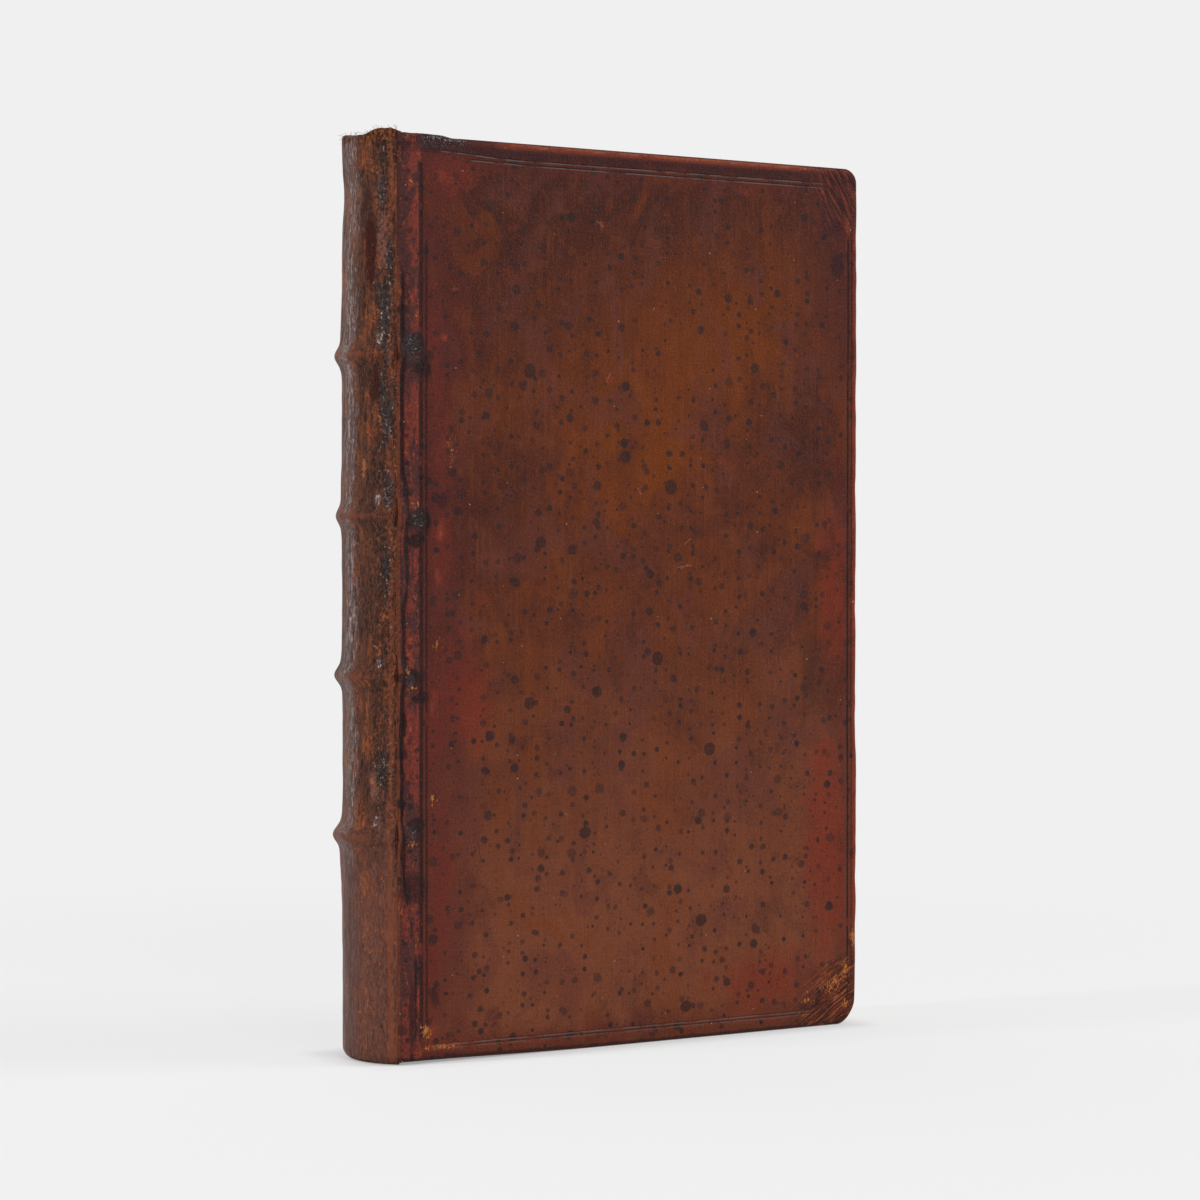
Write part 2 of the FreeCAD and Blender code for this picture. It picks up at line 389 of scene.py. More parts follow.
def waves(x: Array, y: Array, seed: int, layers: int = 3) -> Array:
    """Smooth noise from about -1 to 1 over a plane, with waves of size 1 and finer layers.

    Args:
        x: First coordinates, in wave sizes.
        y: Second coordinates.
        seed: Which noise it is.
        layers: How many layers are added, each half as large as the one before.

    Returns:
        The noise at each place.
    """
    total = np.zeros(np.broadcast(x, y).shape)
    strength = 1.0
    for layer in range(layers):
        at_x, at_y = x * 2**layer + 0.37 * layer, y * 2**layer + 0.71 * layer
        low_x, low_y = np.floor(at_x), np.floor(at_y)
        fade_x, fade_y = at_x - low_x, at_y - low_y
        fade_x = fade_x * fade_x * (3 - 2 * fade_x)
        fade_y = fade_y * fade_y * (3 - 2 * fade_y)
        number = seed * 31 + layer
        low, high = (
            lattice(low_x, row, number) * (1 - fade_x) + lattice(low_x + 1, row, number) * fade_x
            for row in (low_y, low_y + 1)
        )
        total += strength * ((low * (1 - fade_y) + high * fade_y) * 2 - 1)
        strength *= 0.5
    return total


def ramp(value: Array, low: float, high: float) -> Array:
    """A smooth step from 0 at low to 1 at high."""
    share = np.clip((value - low) / (high - low), 0, 1)
    return share * share * (3 - 2 * share)


def bump_at(value: Array, centre: float, reach: float) -> Array:
    """A soft hump of height 1 at centre that fades within about twice its reach."""
    return np.exp(-(((value - centre) / reach) ** 2))


def graded(low: float, high: float, step: float, lines: Sequence[float],
           offsets: Sequence[float]) -> Array:
    """Positions from low to high at an even step, closer together beside some lines.

    Args:
        low: The first position.
        high: The last position.
        step: The even distance.
        lines: Where the positions are close together.
        offsets: The positions beside each line, measured from it.

    Returns:
        The positions in rising order.
    """
    close = [line + offset for line in lines for offset in offsets]
    close = [value for value in close if low < value < high]
    count = max(2, round((high - low) / step) + 1)
    even = [v for v in np.linspace(low, high, count)[1:-1]
            if all(abs(v - c) > step * 0.45 for c in close)]
    return np.array(sorted({low, high, *close, *even}))


def linked(name: str, data: bpy.types.ID) -> bpy.types.Object:
    """Adds an object with that data to the scene."""
    made = bpy.data.objects.new(name, data)
    bpy.context.scene.collection.objects.link(made)
    return made


def sheet_object(name: str, points: Array, faces: Sequence[Sequence[int]],
                 **marks: Array) -> bpy.types.Object:
    """Makes an object from points in millimetres, with marks kept on its points.

    Args:
        name: The object's name.
        points: One row of X, Y, Z for each point.
        faces: The points of each face.
        marks: Numbers to keep on the points, by name.

    Returns:
        The new object, linked to the scene.
    """
    mesh = bpy.data.meshes.new(name)
    mesh.from_pydata((points * MM).tolist(), [], faces)
    for mark, values in marks.items():
        kept = mesh.attributes.new(mark, "FLOAT", "POINT")
        kept.data.foreach_set("value", np.asarray(values, np.float32).ravel())
    mesh.update()
    return linked(name, mesh)


def grid_faces(rows: int, columns: int, start: int = 0, turned: bool = False) -> list[tuple]:
    """The quads of a grid of points kept row after row.

    Args:
        rows: How many rows there are.
        columns: How many points a row has.
        start: The number of the grid's first point.
        turned: Whether the faces point the other way.

    Returns:
        Four point numbers for each quad.
    """
    number = start + np.arange(rows * columns).reshape(rows, columns)
    quads = np.stack([number[:-1, :-1], number[:-1, 1:], number[1:, 1:], number[1:, :-1]], -1)
    quads = quads.reshape(-1, 4)
    return (quads[:, ::-1] if turned else quads).tolist()


def grid_object(name: str, points: Array, turned: bool = False,
                **marks: Array) -> bpy.types.Object:
    """Makes a sheet from rows of points in millimetres, with marks kept on its points."""
    faces = grid_faces(*points.shape[:2], turned=turned)
    return sheet_object(name, points.reshape(-1, 3), faces, **marks)


def finished(piece: bpy.types.Object) -> bpy.types.Object:
    """Turns a piece's modifiers into its plain mesh and shades it smoothly."""
    evaluated = piece.evaluated_get(bpy.context.evaluated_depsgraph_get())
    mesh = bpy.data.meshes.new_from_object(evaluated)
    piece.modifiers.clear()
    piece.data = mesh
    mesh.polygons.foreach_set("use_smooth", [True] * len(mesh.polygons))
    mesh.update()
    return piece


def thickened(piece: bpy.types.Object, thickness: float, offset: float = 0) -> bpy.types.Object:
    """Gives a sheet its thickness, to both sides at offset 0 and to one side at -1 or 1."""
    solid = piece.modifiers.new("thickness", "SOLIDIFY")
    solid.thickness = thickness * MM
    solid.offset = offset
    return finished(piece)


@dataclass(frozen=True)
class BookSizes:
    """The book's main sizes and places, read from the frame."""

    joint_x: float
    fore_x: float
    cover_height: float
    face_y: float
    turn_in_y: float
    spine_half: float
    cap_z: float
    leaf_low: Vector
    leaf_high: Vector

    @classmethod
    def from_frame(cls) -> "BookSizes":
        """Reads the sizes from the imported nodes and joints."""
        cover_low, cover_high = (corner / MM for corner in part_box("front_leather"))
        spine_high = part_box("spine_leather")[1] / MM
        leaf_low, leaf_high = (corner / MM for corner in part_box("page_block"))
        hinge = next(j for j in frame["joints"] if j["child"] == "front_cover")
        return cls(hinge["pos_m"][0] / MM, cover_high.x, cover_high.z, -cover_low.y, -cover_high.y,
                   spine_high.y, spine_high.z, leaf_low, leaf_high)


# Where the raised bands' crests lie, from the tail up, in millimetres
BAND_HEIGHTS = tuple(
    sum(corner.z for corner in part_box(f"sewing_cord_{number}")) / 2 / MM for number in range(1, 5)
)


@dataclass(frozen=True)
class Mark:
    """An oval place on a surface where its finish changes."""

    x: float
    z: float
    wide: float
    high: float
    strength: float = 1.0


# Marks of wear, by the name that the finish reads them under
Wear = dict[str, tuple[Mark, ...]]


def marks(*rows: Sequence[float]) -> tuple[Mark, ...]:
    """Marks from rows of numbers, in the order of a mark's fields."""
    return tuple(Mark(*row) for row in rows)


def field_of(ovals: Sequence[Mark], x: Array, z: Array) -> Array:
    """How far inside the nearest mark each place lies: 1 in its middle, 0 on its rim.

    Args:
        ovals: The marks.
        x: The places' first coordinates.
        z: Their heights.

    Returns:
        The field, never under -1.
    """
    best = np.full(np.broadcast(x, z).shape, -1.0)
    for mark in ovals:
        reach = np.hypot((x - mark.x) / mark.wide, (z - mark.z) / mark.high)
        best = np.maximum(best, np.clip(1 - reach, -1, 1) * mark.strength)
    return best


def closed(piece: bpy.types.Object, smooth: bool = True) -> bpy.types.Object:
    """Merges a shell's doubled points, turns its faces outwards and shades it."""
    made = bmesh.new()
    made.from_mesh(piece.data)
    bmesh.ops.remove_doubles(made, verts=made.verts, dist=1e-7)
    bmesh.ops.dissolve_degenerate(made, edges=made.edges, dist=1e-8)
    bmesh.ops.recalc_face_normals(made, faces=made.faces)
    for face in made.faces:
        face.smooth = smooth
    made.to_mesh(piece.data)
    made.free()
    piece.data.update()
    return piece


def dress(piece: bpy.types.Object, material: bpy.types.Material) -> bpy.types.Object:
    """Gives a piece its only material."""
    piece.data.materials.clear()
    piece.data.materials.append(material)
    return piece


@dataclass(frozen=True)
class Fillet:
    """A blind-tooled straight line on the leather."""

    along_x: bool
    place: float
    start: float
    end: float
    half_width: float
    # How strong the painted highlight along one side of the groove is
    highlight_strength: float
    dark: float
    stray: float = 0.0


@dataclass(frozen=True)
class Scratch:
    """A thin straight scratch or crease in the leather's surface."""

    start: tuple[float, float]
    end: tuple[float, float]
    width: float
    shade: Colour


# Finishes

# How far a straying fillet takes to find its line
STRAY_LENGTH = 20.0
# The creased corners at the fore edge: height, reach, the creases' turn, and the worn colour
WORN_CORNER_X = 66.0
WORN_CORNERS = ((0.0, 22.0, -0.55, (166, 92, 50)), (200.0, 19.0, 0.98, (126, 56, 42)))


@dataclass(frozen=True)
class CoverCalf:
    """Sprinkled brown calf of a cover, with its wear kept as marks on the mesh."""

    name: str
    fillets: tuple[Fillet, ...]
    seed: float
    scratches: tuple[Scratch, ...] = ()
    aged: Colour = (0.97, 0.9, 0.77)

    def sprinkle(self, shader: Shader, spacing: float, small: float, large: float,
                 kept: float, shift: float) -> Signal:
        """Round dark sprinkles of uneven size, one at most in each cell of a plane pattern.

        Args:
            shader: The material.
            spacing: The cells' size.
            small: The least radius.
            large: The greatest radius.
            kept: The share of cells, from 0, that hold none.
            shift: How far the pattern is moved.

        Returns:
            A mask that is 1 on the sprinkles.
        """
        warp = shader.noise((0.9,) * 3, 3, 0.65, shift=shift)
        cell = shader.plane_cells(spacing, shift=shift)
        chance = shader.node("ShaderNodeSeparateColor", {}, {0: cell.outputs["Color"]})
        size, depth = (Signal(shader, chance.outputs[n]) for n in (0, 1))
        radius = (size ** 2.5 * (large - small) + small) / spacing
        reach = Signal(shader, cell.outputs["Distance"]) + (warp - 0.5) * (1.5 * small / spacing)
        spot = shader.rise(reach / radius, 1.2, 0.7) * shader.rise(size, kept, kept + 0.1)
        return spot * (depth * 0.45 + 0.55)

    def tooling(self, shader: Shader) -> tuple[Signal, Signal]:
        """The fillets' lines: how dark each place is, and how bright the painted highlight is along one
        side of each groove.
        """
        darks, highlight_masks = [], []
        worn = shader.noise((5, 5, 5), 4, 0.6, shift=self.seed + 5)
        for line in self.fillets:
            across, along = (shader.z, shader.x) if line.along_x else (shader.x, shader.z)
            beside = across - line.place
            if line.stray:
                beside = beside - shader.rise(along, line.start + STRAY_LENGTH, line.start) * line.stray
            middle, half = (line.start + line.end) / 2, (line.end - line.start) / 2
            within = shader.rise(shader.math("ABSOLUTE", along - middle), half + 0.4, half - 1.5)
            width = line.half_width
            mask = shader.rise(shader.math("ABSOLUTE", beside), width * 1.25, width * 0.6) * within
            lit = shader.math("ABSOLUTE", beside + width * 0.55)
            lit = shader.rise(lit, width * 0.75, width * 0.3) * within
            darks.append(mask * shader.rise(worn, 0.28, 0.42) * line.dark)
            highlight_masks.append(lit * shader.rise(worn, 0.36, 0.56) * line.highlight_strength)
        return shader.most(*darks), shader.most(*highlight_masks)

    def material(self) -> bpy.types.Material:
        """Builds the material."""
        shader = Shader(self.name)
        shift = self.seed
        x, z = shader.x, shader.z
        cloud = shader.noise((20, 20, 26), 4, 0.55, 0.3, shift=shift)
        haze = shader.noise((9, 9, 13), 4, 0.6, 0.6, shift=shift + 7)
        mottle = shader.noise((3.2, 3.2, 4.4), 5, 0.65, 0.6, shift=shift + 1)
        grain = shader.noise((0.5,) * 3, 4, 0.7, shift=shift + 2)
        thread = shader.noise((0.7, 0.7, 22.0), 4, 0.7, 0.2, shift=shift + 4)
        streak = shader.noise((1.5, 1.5, 5.5), 5, 0.68, 0.9, shift=shift + 3)
        mauve = shader.noise((13, 13, 18), 4, 0.6, 0.8, shift=shift + 14)
        frayed = shader.noise((0.6, 0.6, 0.9), 4, 0.75, 0.5, shift=shift + 8)
        weave = shader.most(shader.noise((3.2, 0.28, 0.28), 3, 0.7, 0.3, shift=shift + 15),
                            shader.noise((0.28, 0.28, 3.2), 3, 0.7, 0.3, shift=shift + 16))
        ragged = mottle.swing(2.2) + grain.swing(0.8)
        strip, edge = shader.attribute("strip"), shader.attribute("edge")

        # The calf's clouds, from the darkest to the margins of the board, darker towards the head, with
        # a painted reflection of the pale floor that lightens the tail
        warm = shader.attribute("warm") + cloud.swing(2.6) + haze.swing(1.2)
        ruddy = shader.attribute("ruddy") + haze.swing(1.2) + mottle.swing(0.8)
        head = shader.rise(z + haze.swing(40), 140.0, 172.0)
        colour = shader.painted(tone(66, 34, 30), (
            (warm, -0.55, 0.35, 1.0, (88, 45, 30)),
            (warm, 0.15, 1.2, 1.0, (108, 54, 18)),
            (haze + thread.swing(0.4), 0.52, 0.66, 0.4, (110, 61, 42)),
            # Painted reflection of the pale floor: the leather is lighter towards the tail
            (z + cloud.swing(90), 120.0, 15.0, 0.7, (132, 78, 56)),
            (z + cloud.swing(60) - x * 0.2, 150.0, 196.0, 0.75, (58, 30, 29)),
            (haze + mottle.swing(0.6), 0.44, 0.3, 0.35, (60, 33, 32)),
            (mauve, 0.5, 0.62, 0.45, (92, 52, 50)),
            (mauve, 0.46, 0.36, 0.4, (112, 56, 26)),
            (thread, 0.46, 0.66, 0.12, (120, 64, 42)),
            (thread, 0.45, 0.3, 0.16, (52, 30, 30)),
            (mottle, 0.52, 0.68, 0.25, (128, 66, 38)),
            (edge + haze.swing(12), 10.0, 3.5, 0.5, (88, 40, 35)),
            (ruddy, 0.0, 0.6, 0.7, (120, 48, 36)),
            (x + haze.swing(14), -34.0, -50.0, 0.65, (84, 39, 38)),
            (x + haze.swing(20), 44.0, 58.0, head * 0.5, (66, 34, 40)),
        ))
        colour = shader.vector("MULTIPLY", colour, self.aged)

        # The rubbed strip along the joint
        red = shader.rise(streak + (haze - 0.5) + (mottle - 0.5), 0.4, 0.56) * shader.attribute("red")
        near = shader.rise(strip, 0.0, 0.6)
        fine = self.sprinkle(shader, 1.8, 0.15, 0.38, 0.58, shift + 5.7)
        spots = shader.most(
            self.sprinkle(shader, 7.1, 0.5, 1.3, 0.5, shift),
            self.sprinkle(shader, 3.2, 0.3, 0.8, 0.38, shift + 3.3),
            fine * shader.rise(haze, 0.56, 0.46) * 0.75,
        )
        colour = shader.painted(colour, (
            (strip, 0.2, 0.7, 0.85, (78, 47, 46)),
            (red, 0.1, 0.8, 0.75, (126, 54, 43)),
            (shader.attribute("fold") + streak.swing(1.4), 0.2, 0.7, 0.8, (116, 62, 42)),
            (frayed + streak.swing(0.7), 0.6, 0.68, near * 0.6, (172, 84, 46)),
            (frayed + mottle.swing(0.8), 0.4, 0.3, near * 0.7, (44, 31, 32)),
        ))
        colour = shader.blend(spots * 0.9, colour, tone(43, 33, 35))

        # Marks of wear with a painted shade along the foot, and the tooled lines with their painted
        # highlights
        rub = shader.attribute("rub") + ragged * 0.5
        colour = shader.painted(colour, (
            (shader.attribute("blot") + mottle.swing(0.5), 0.02, 0.2, 0.8, (49, 32, 31)),
            (rub, 0.12, 0.5, 0.75, (122, 54, 38)),
            (rub, 0.5, 0.85, 0.65, (158, 88, 62)),
            # Dark wear marks, and the painted shade along the cover's foot
            (shader.attribute("dark_wear_and_shade") + ragged * 0.45, 0.1, 0.5, 0.8, (50, 29, 31)),
            (shader.attribute("knot") + ragged * 0.9, 0.1, 0.45, 0.9, (30, 24, 25)),
        ))
        dark, fillet_highlight = self.tooling(shader)
        colour = shader.blend(dark * 0.85, colour, tone(38, 25, 27))
        # Painted highlight along one side of each tooled groove
        colour = shader.blend(fillet_highlight * 0.85, colour, tone(112, 106, 102))
        crack = shader.attribute("crack") + grain.swing(0.9) + mottle.swing(0.6)
        colour = shader.painted(colour, ((crack, 0.0, 0.6, 0.88, (40, 32, 34)),))
        creases = []
        for corner_z, reach, turn, worn in WORN_CORNERS:
            from_x, from_z = x - WORN_CORNER_X, z - corner_z
            away = (from_x * from_x + from_z * from_z) ** 0.5 + haze.swing(10)
            folds = shader.noise((7.0, 0.5, 0.5), 4, 0.72, 0.7, turn=turn, shift=shift + 12)
            within = shader.rise(away, reach, reach * 0.6)
            creases.append(shader.rise(folds, 0.48, 0.4) * within)
            colour = shader.blend(within * 0.55, colour, tone(70, 36, 32))
            colour = shader.blend(creases[-1] * 0.8, colour, tone(42, 26, 27))
            colour = shader.painted(colour, ((folds, 0.54, 0.62, within * 0.85, worn),))
        gold = shader.attribute("gold") * 0.7 + frayed.swing(2.4)
        colour = shader.painted(colour, ((gold, 0.36, 0.6, 0.9, (192, 120, 56)),))
        for line in self.scratches:
            mark = shader.scratch(line.start, line.end, line.width) * shader.rise(grain, 0.38, 0.52)
            colour = shader.blend(mark * 0.75, colour, line.shade)

        # Nicks, the finest grain, the polish and painted glints on the polished places
        nick = self.sprinkle(shader, 13.0, 0.06, 0.17, 0.5, shift + 9.1)
        colour = shader.blend(nick * 0.9, colour, tone(196, 168, 140))
        shine = shader.rise(shader.attribute("gloss") + mottle.swing(1.2), 0.1, 0.6)
        # Painted highlights: pale glints where the leather is polished
        glint = shader.rise(mottle, 0.48, 0.6) * shine
        colour = shader.painted(colour, (
            (grain, 0.5, 0.72, 0.16, (168, 104, 76)),
            (grain, 0.5, 0.3, 0.3, (40, 22, 22)),
            (weave, 0.6, 0.76, 0.1, (170, 108, 80)),
            (weave, 0.54, 0.42, 0.16, (44, 25, 24)),
            (frayed, 0.6, 0.68, glint * 0.75, (190, 172, 156)),
        ))
        rough = 0.5 + grain.swing(0.35) + shader.rise(rub, 0.1, 0.6) * 0.15 - shine * 0.22
        pores = Signal(shader, shader.plane_cells(0.7, shift=shift).outputs["Distance"])
        walls = shader.plane_cells(1.25, "DISTANCE_TO_EDGE", warp=mottle * 1.5)
        walls = Signal(shader, walls.outputs["Distance"])
        crackle = shader.rise(walls, 0.1, 0.0) * shader.most(shine, shader.rise(strip, 0.1, 0.6) * 0.4)
        colour = shader.blend(crackle * 0.5, colour, tone(30, 19, 20))
        height = grain * 0.4 + shader.rise(pores, 0.0, 0.5) * 0.25 + mottle * 0.7
        height = height + streak * (strip * 1.2 + 0.1) - dark * 0.5 - crackle * 1.3
        height = height - shader.rise(crack, 0.0, 0.6) * 1.2 - shader.most(*creases) * 0.6
        return shader.surface(colour, rough, height, 0.17, shine * 0.4, 0.16, 0.07)


@dataclass(frozen=True)
class SpineCalf:
    """The spine's darker calf: coarse, crackled and polished by hands."""

    name: str

    def material(self) -> bpy.types.Material:
        """Builds the material."""
        shader = Shader(self.name)
        attribute, rise = shader.attribute, shader.rise
        turn, z = attribute("turn"), shader.z
        cloud = shader.noise((6, 6, 11), 4, 0.6, 0.5, shift=11)
        wrinkle = shader.noise((0.9, 0.9, 7.0), 5, 0.65, 0.9, shift=12)
        fibre = shader.noise((0.55, 0.55, 2.3), 5, 0.74, 1.3, shift=15)
        coarse = shader.noise((1.3, 1.3, 1.9), 5, 0.7, 0.6, shift=13)
        grain = shader.noise((0.6, 0.6, 0.75), 4, 0.75, 0.3, shift=14)
        flecks = shader.noise((0.8, 0.8, 1.1), 4, 0.75, 0.4, shift=17)
        pits = shader.cells((0.75, 0.75, 0.95), shift=2, warp=coarse * 1.2)
        side = shader.math("ABSOLUTE", turn) + cloud.swing(5)
        top = rise(side, 3.6, 0.4)
        wild = rise(z + cloud.swing(24), 36.0, 52.0)
        flank = rise(side, 6.0, 8.2) * wild
        low = rise(z + cloud.swing(40), 60.0, 34.0)
        ragged = coarse.swing(2.0) + grain.swing(1.6)

        # The calf, its calm foot, the rusty places of the crest, and a painted sheen of pale crazed
        # streaks over the crest
        painted_crest_sheen = top * (wild * 0.75 + 0.12)
        colour = shader.blend(rise(fibre, 0.42, 0.58), tone(38, 23, 19), tone(98, 57, 40))
        colour = shader.painted(colour, (
            (cloud + wrinkle.swing(0.8), 0.42, 0.58, 0.5, (108, 58, 34)),
            (wrinkle + (cloud - 0.5) + grain.swing(0.6), 0.58, 0.7, 0.6, (144, 74, 38)),
        ))
        colour = shader.blend(low * 0.65, colour, tone(116, 72, 60))
        colour = shader.painted(colour, (
            (fibre, 0.52, 0.38, low * 0.5, (60, 36, 32)),
            (fibre, 0.54, 0.64, low * 0.35, (158, 106, 86)),
        ))
        # Painted sheen: a pale lilac tint over the crest
        colour = shader.blend(top * (wild * 0.2 + 0.35), colour, tone(112, 78, 70))

        # Marks of wear, with painted sheen on the crest and painted glints
        dark = rise(attribute("black") + ragged * 0.8 + wrinkle.swing(1.6), 0.0, 0.4)
        crust = rise(pits, 0.42, 0.22) * shader.most(flank * 0.5, dark)
        pink = attribute("pink") + ragged * 0.5
        fray = attribute("fray") + ragged * 0.8
        colour = shader.painted(colour, (
            # Pale crazed streaks over the crest: painted sheen
            (fibre, 0.5, 0.6, painted_crest_sheen, (178, 156, 152)),
            (wrinkle, 0.44, 0.32, wild * 0.5 + 0.25, (40, 26, 25)),
            (grain, 0.44, 0.34, 0.6, (34, 22, 21)),
            (flecks + cloud.swing(0.5), 0.6, 0.68, rise(top, 0.6, 0.2) * 0.75, (166, 92, 46)),
            (attribute("red") + coarse.swing(1.4), 0.05, 0.4, 0.9, (56, 17, 11)),
            (pink, 0.05, 0.45, 0.7, (132, 84, 72)),
            (attribute("tan") + ragged * 0.5 + flecks.swing(3), 0.35, 0.6, 0.85, (158, 98, 58)),
            (attribute("ridge") + wrinkle.swing(2.4) + grain.swing(1.6), 0.3, 0.9, 0.65, (132, 70, 46)),
            (attribute("crest") + wrinkle.swing(1.2), 0.4, 0.9, 0.7, (118, 62, 44)),
        ))
        colour = shader.blend(dark * 0.85, colour, tone(27, 19, 20))
        colour = shader.blend(crust * 0.55, colour, tone(96, 66, 54))
        # Painted highlights: small pale glints on the flank and in the black crackle
        glint_flecks = shader.most(flank * 0.25, dark)
        glint_flecks = (grain + flecks.swing(0.8), 0.61, 0.69, glint_flecks * 0.7, (196, 174, 160))
        colour = shader.painted(colour, (glint_flecks,))
        tufts = shader.blend(rise(flecks, 0.46, 0.6), tone(54, 31, 22), tone(146, 84, 44))
        colour = shader.blend(rise(fray, 0.4, 0.8) * 0.85, colour, tufts)

        gloss = attribute("gloss") * rise(coarse, 0.36, 0.52)
        # Painted highlights: white glints on the polished places above the bands
        worn = rise(grain + coarse.swing(0.6), 0.53, 0.6) * rise(gloss, 0.5, 1.0)
        colour = shader.blend(worn * 0.8, colour, tone(214, 200, 192))
        shine = shader.most(dark * 0.4, gloss)
        rough = 0.42 + grain.swing(0.3) + rise(fray, 0.3, 0.7) * 0.3 - shine * 0.12
        rough = rough + rise(pink, 0.1, 0.5) * 0.15
        height = coarse * 1.1 + wrinkle * (top * 0.8 + 0.5) + fibre * (top * 0.9 + 0.35)
        height = height + crust * 0.9 + rise(pits, 0.5, 0.15) * (flank * 0.5 + dark * 0.8)
        polish = shader.most(shine * 0.7, top * rise(fibre, 0.42, 0.6) * (wild * 0.55 + 0.03))
        polish = polish * rise(fray, 0.6, 0.2)
        return shader.surface(colour, rough, height, 0.45, polish, 0.1, 0.12)


@dataclass(frozen=True)
class OldPaper:
    """Laid rag paper, toned and foxed, darker towards its edges."""

    name: str
    middle: Colour
    rim: Colour
    burn: float
    chain_gap: float = 13.0
    laid_gap: float = 1.1

    def material(self) -> bpy.types.Material:
        """Builds the material."""
        shader = Shader(self.name)
        cloud = shader.noise((30, 30, 30), 4, 0.55)
        fibre = shader.noise((0.5, 0.5, 3.0), 3)
        spots = shader.noise((2.6,) * 3, 3, 0.6, shift=6)
        damp = shader.noise((34, 34, 22), 5, 0.6, 0.8, shift=19)
        edge = shader.attribute("edge") + cloud.swing(12) + spots.swing(5)
        chain = shader.math("PINGPONG", shader.x, self.chain_gap)
        chain = shader.math("ABSOLUTE", chain - self.chain_gap / 2)
        laid = shader.math("SINE", shader.z * (2 * math.pi / self.laid_gap))
        toned = tuple(value * 0.86 for value in self.middle)
        colour = shader.blend(shader.rise(cloud, 0.35, 0.65), self.middle, toned)
        toning = ((edge, 13.5, 9.5, self.burn * 0.3), (edge, 7.0, -3.0, self.burn * 0.8),
                  (damp, 0.6, 0.63, 0.16))
        for value, low, high, strength in toning:
            colour = shader.blend(shader.rise(value, low, high) * strength, colour, self.rim)
        colour = shader.painted(colour, (
            (spots, 0.66, 0.74, 0.55, (158, 112, 66)),
            (laid, -0.4, 1.0, 0.07, (168, 140, 98)),
        ))
        height = fibre * 0.6 + laid * 0.1 + shader.rise(chain, 0.35, 0.0) * 0.3
        return shader.surface(colour, 0.86, height, 0.05)


# Leaves that show as one bundle at the edges
LEAVES_IN_GATHERING = 16


@dataclass(frozen=True)
class LeafEdges:
    """The cut edges of many leaves, with painted shade between the leaves and the gatherings, dusty
    patches and a worn sprinkled tint.
    """

    name: str

    def material(self) -> bpy.types.Material:
        """Builds the material."""
        shader = Shader(self.name)
        leaf = shader.attribute("leaf")
        wave = shader.math("ABSOLUTE", shader.math("FRACT", leaf * 0.5) - 0.5) * 2
        lean = shader.noise((3.0, 3.0, 40.0), 3, 0.6)
        dust = shader.noise((7, 7, 9), 4, 0.6, shift=3)
        dots = shader.cells((0.9,) * 3)
        gathering = shader.math("FRACT", leaf / LEAVES_IN_GATHERING)
        gap = shader.rise(shader.math("ABSOLUTE", gathering - 0.5), 0.42, 0.5)
        # Painted shade: the leaf edges are paler on their rounded middles and darker between them
        colour = shader.blend(shader.rise(wave, 0.2, 0.9), tone(206, 176, 138), tone(238, 218, 188))
        colour = shader.painted(colour, (
            (lean, 0.5, 0.7, 0.35, (170, 128, 92)),
            (dust, 0.45, 0.7, 0.35, (150, 116, 86)),
        ))
        # Painted shade in the gaps between the gatherings
        colour = shader.blend(gap * 0.45, colour, tone(96, 70, 46))
        sprinkled = shader.rise(dust, 0.62, 0.5) * 0.45
        colour = shader.painted(colour, ((dots, 0.3, 0.2, sprinkled, (150, 66, 48)),))
        height = wave * 0.6 - gap * 0.8 + lean * 0.6
        return shader.surface(colour, 0.88, height, 0.07)


@dataclass(frozen=True)
class Thread:
    """Linen thread or hemp cord: two fibres' tones twisted together."""

    name: str
    pale: Colour
    dark: Colour
    second: Colour

    def material(self) -> bpy.types.Material:
        """Builds the material."""
        shader = Shader(self.name)
        fibre = shader.noise((0.18, 0.18, 0.5), 3, 0.6)
        soil = shader.noise((2.0,) * 3, 3, 0.6, shift=8)
        colour = shader.blend(shader.rise(fibre, 0.35, 0.65), self.dark, self.pale)
        colour = shader.blend(shader.attribute("strand"), colour, self.second)
        colour = shader.blend(shader.rise(soil, 0.45, 0.7) * 0.5, colour, tone(92, 70, 50))
        return shader.surface(colour, 0.85, fibre + soil * 0.3, 0.08)


@dataclass(frozen=True)
class Pasteboard:
    """Grey-brown board of pasted sheets."""

    name: str

    def material(self) -> bpy.types.Material:
        """Builds the material."""
        shader = Shader(self.name)
        layers = shader.noise((14, 0.25, 14), 3, 0.6)
        fleck = shader.noise((0.6,) * 3, 4, 0.7)
        colour = shader.blend(shader.rise(layers, 0.35, 0.65), tone(138, 120, 94), tone(168, 150, 120))
        colour = shader.blend(shader.rise(fleck, 0.6, 0.72) * 0.6, colour, tone(98, 80, 58))
        return shader.surface(colour, 0.92, fleck + layers * 0.6, 0.1)


# Leather

# Marks of wear that the finishes read by name
COVER_WEAR = ("blot", "rub", "gold", "ruddy", "dark_wear_and_shade", "warm", "crack", "knot", "gloss")
SPINE_WEAR = ("red", "pink", "tan", "black", "gloss")


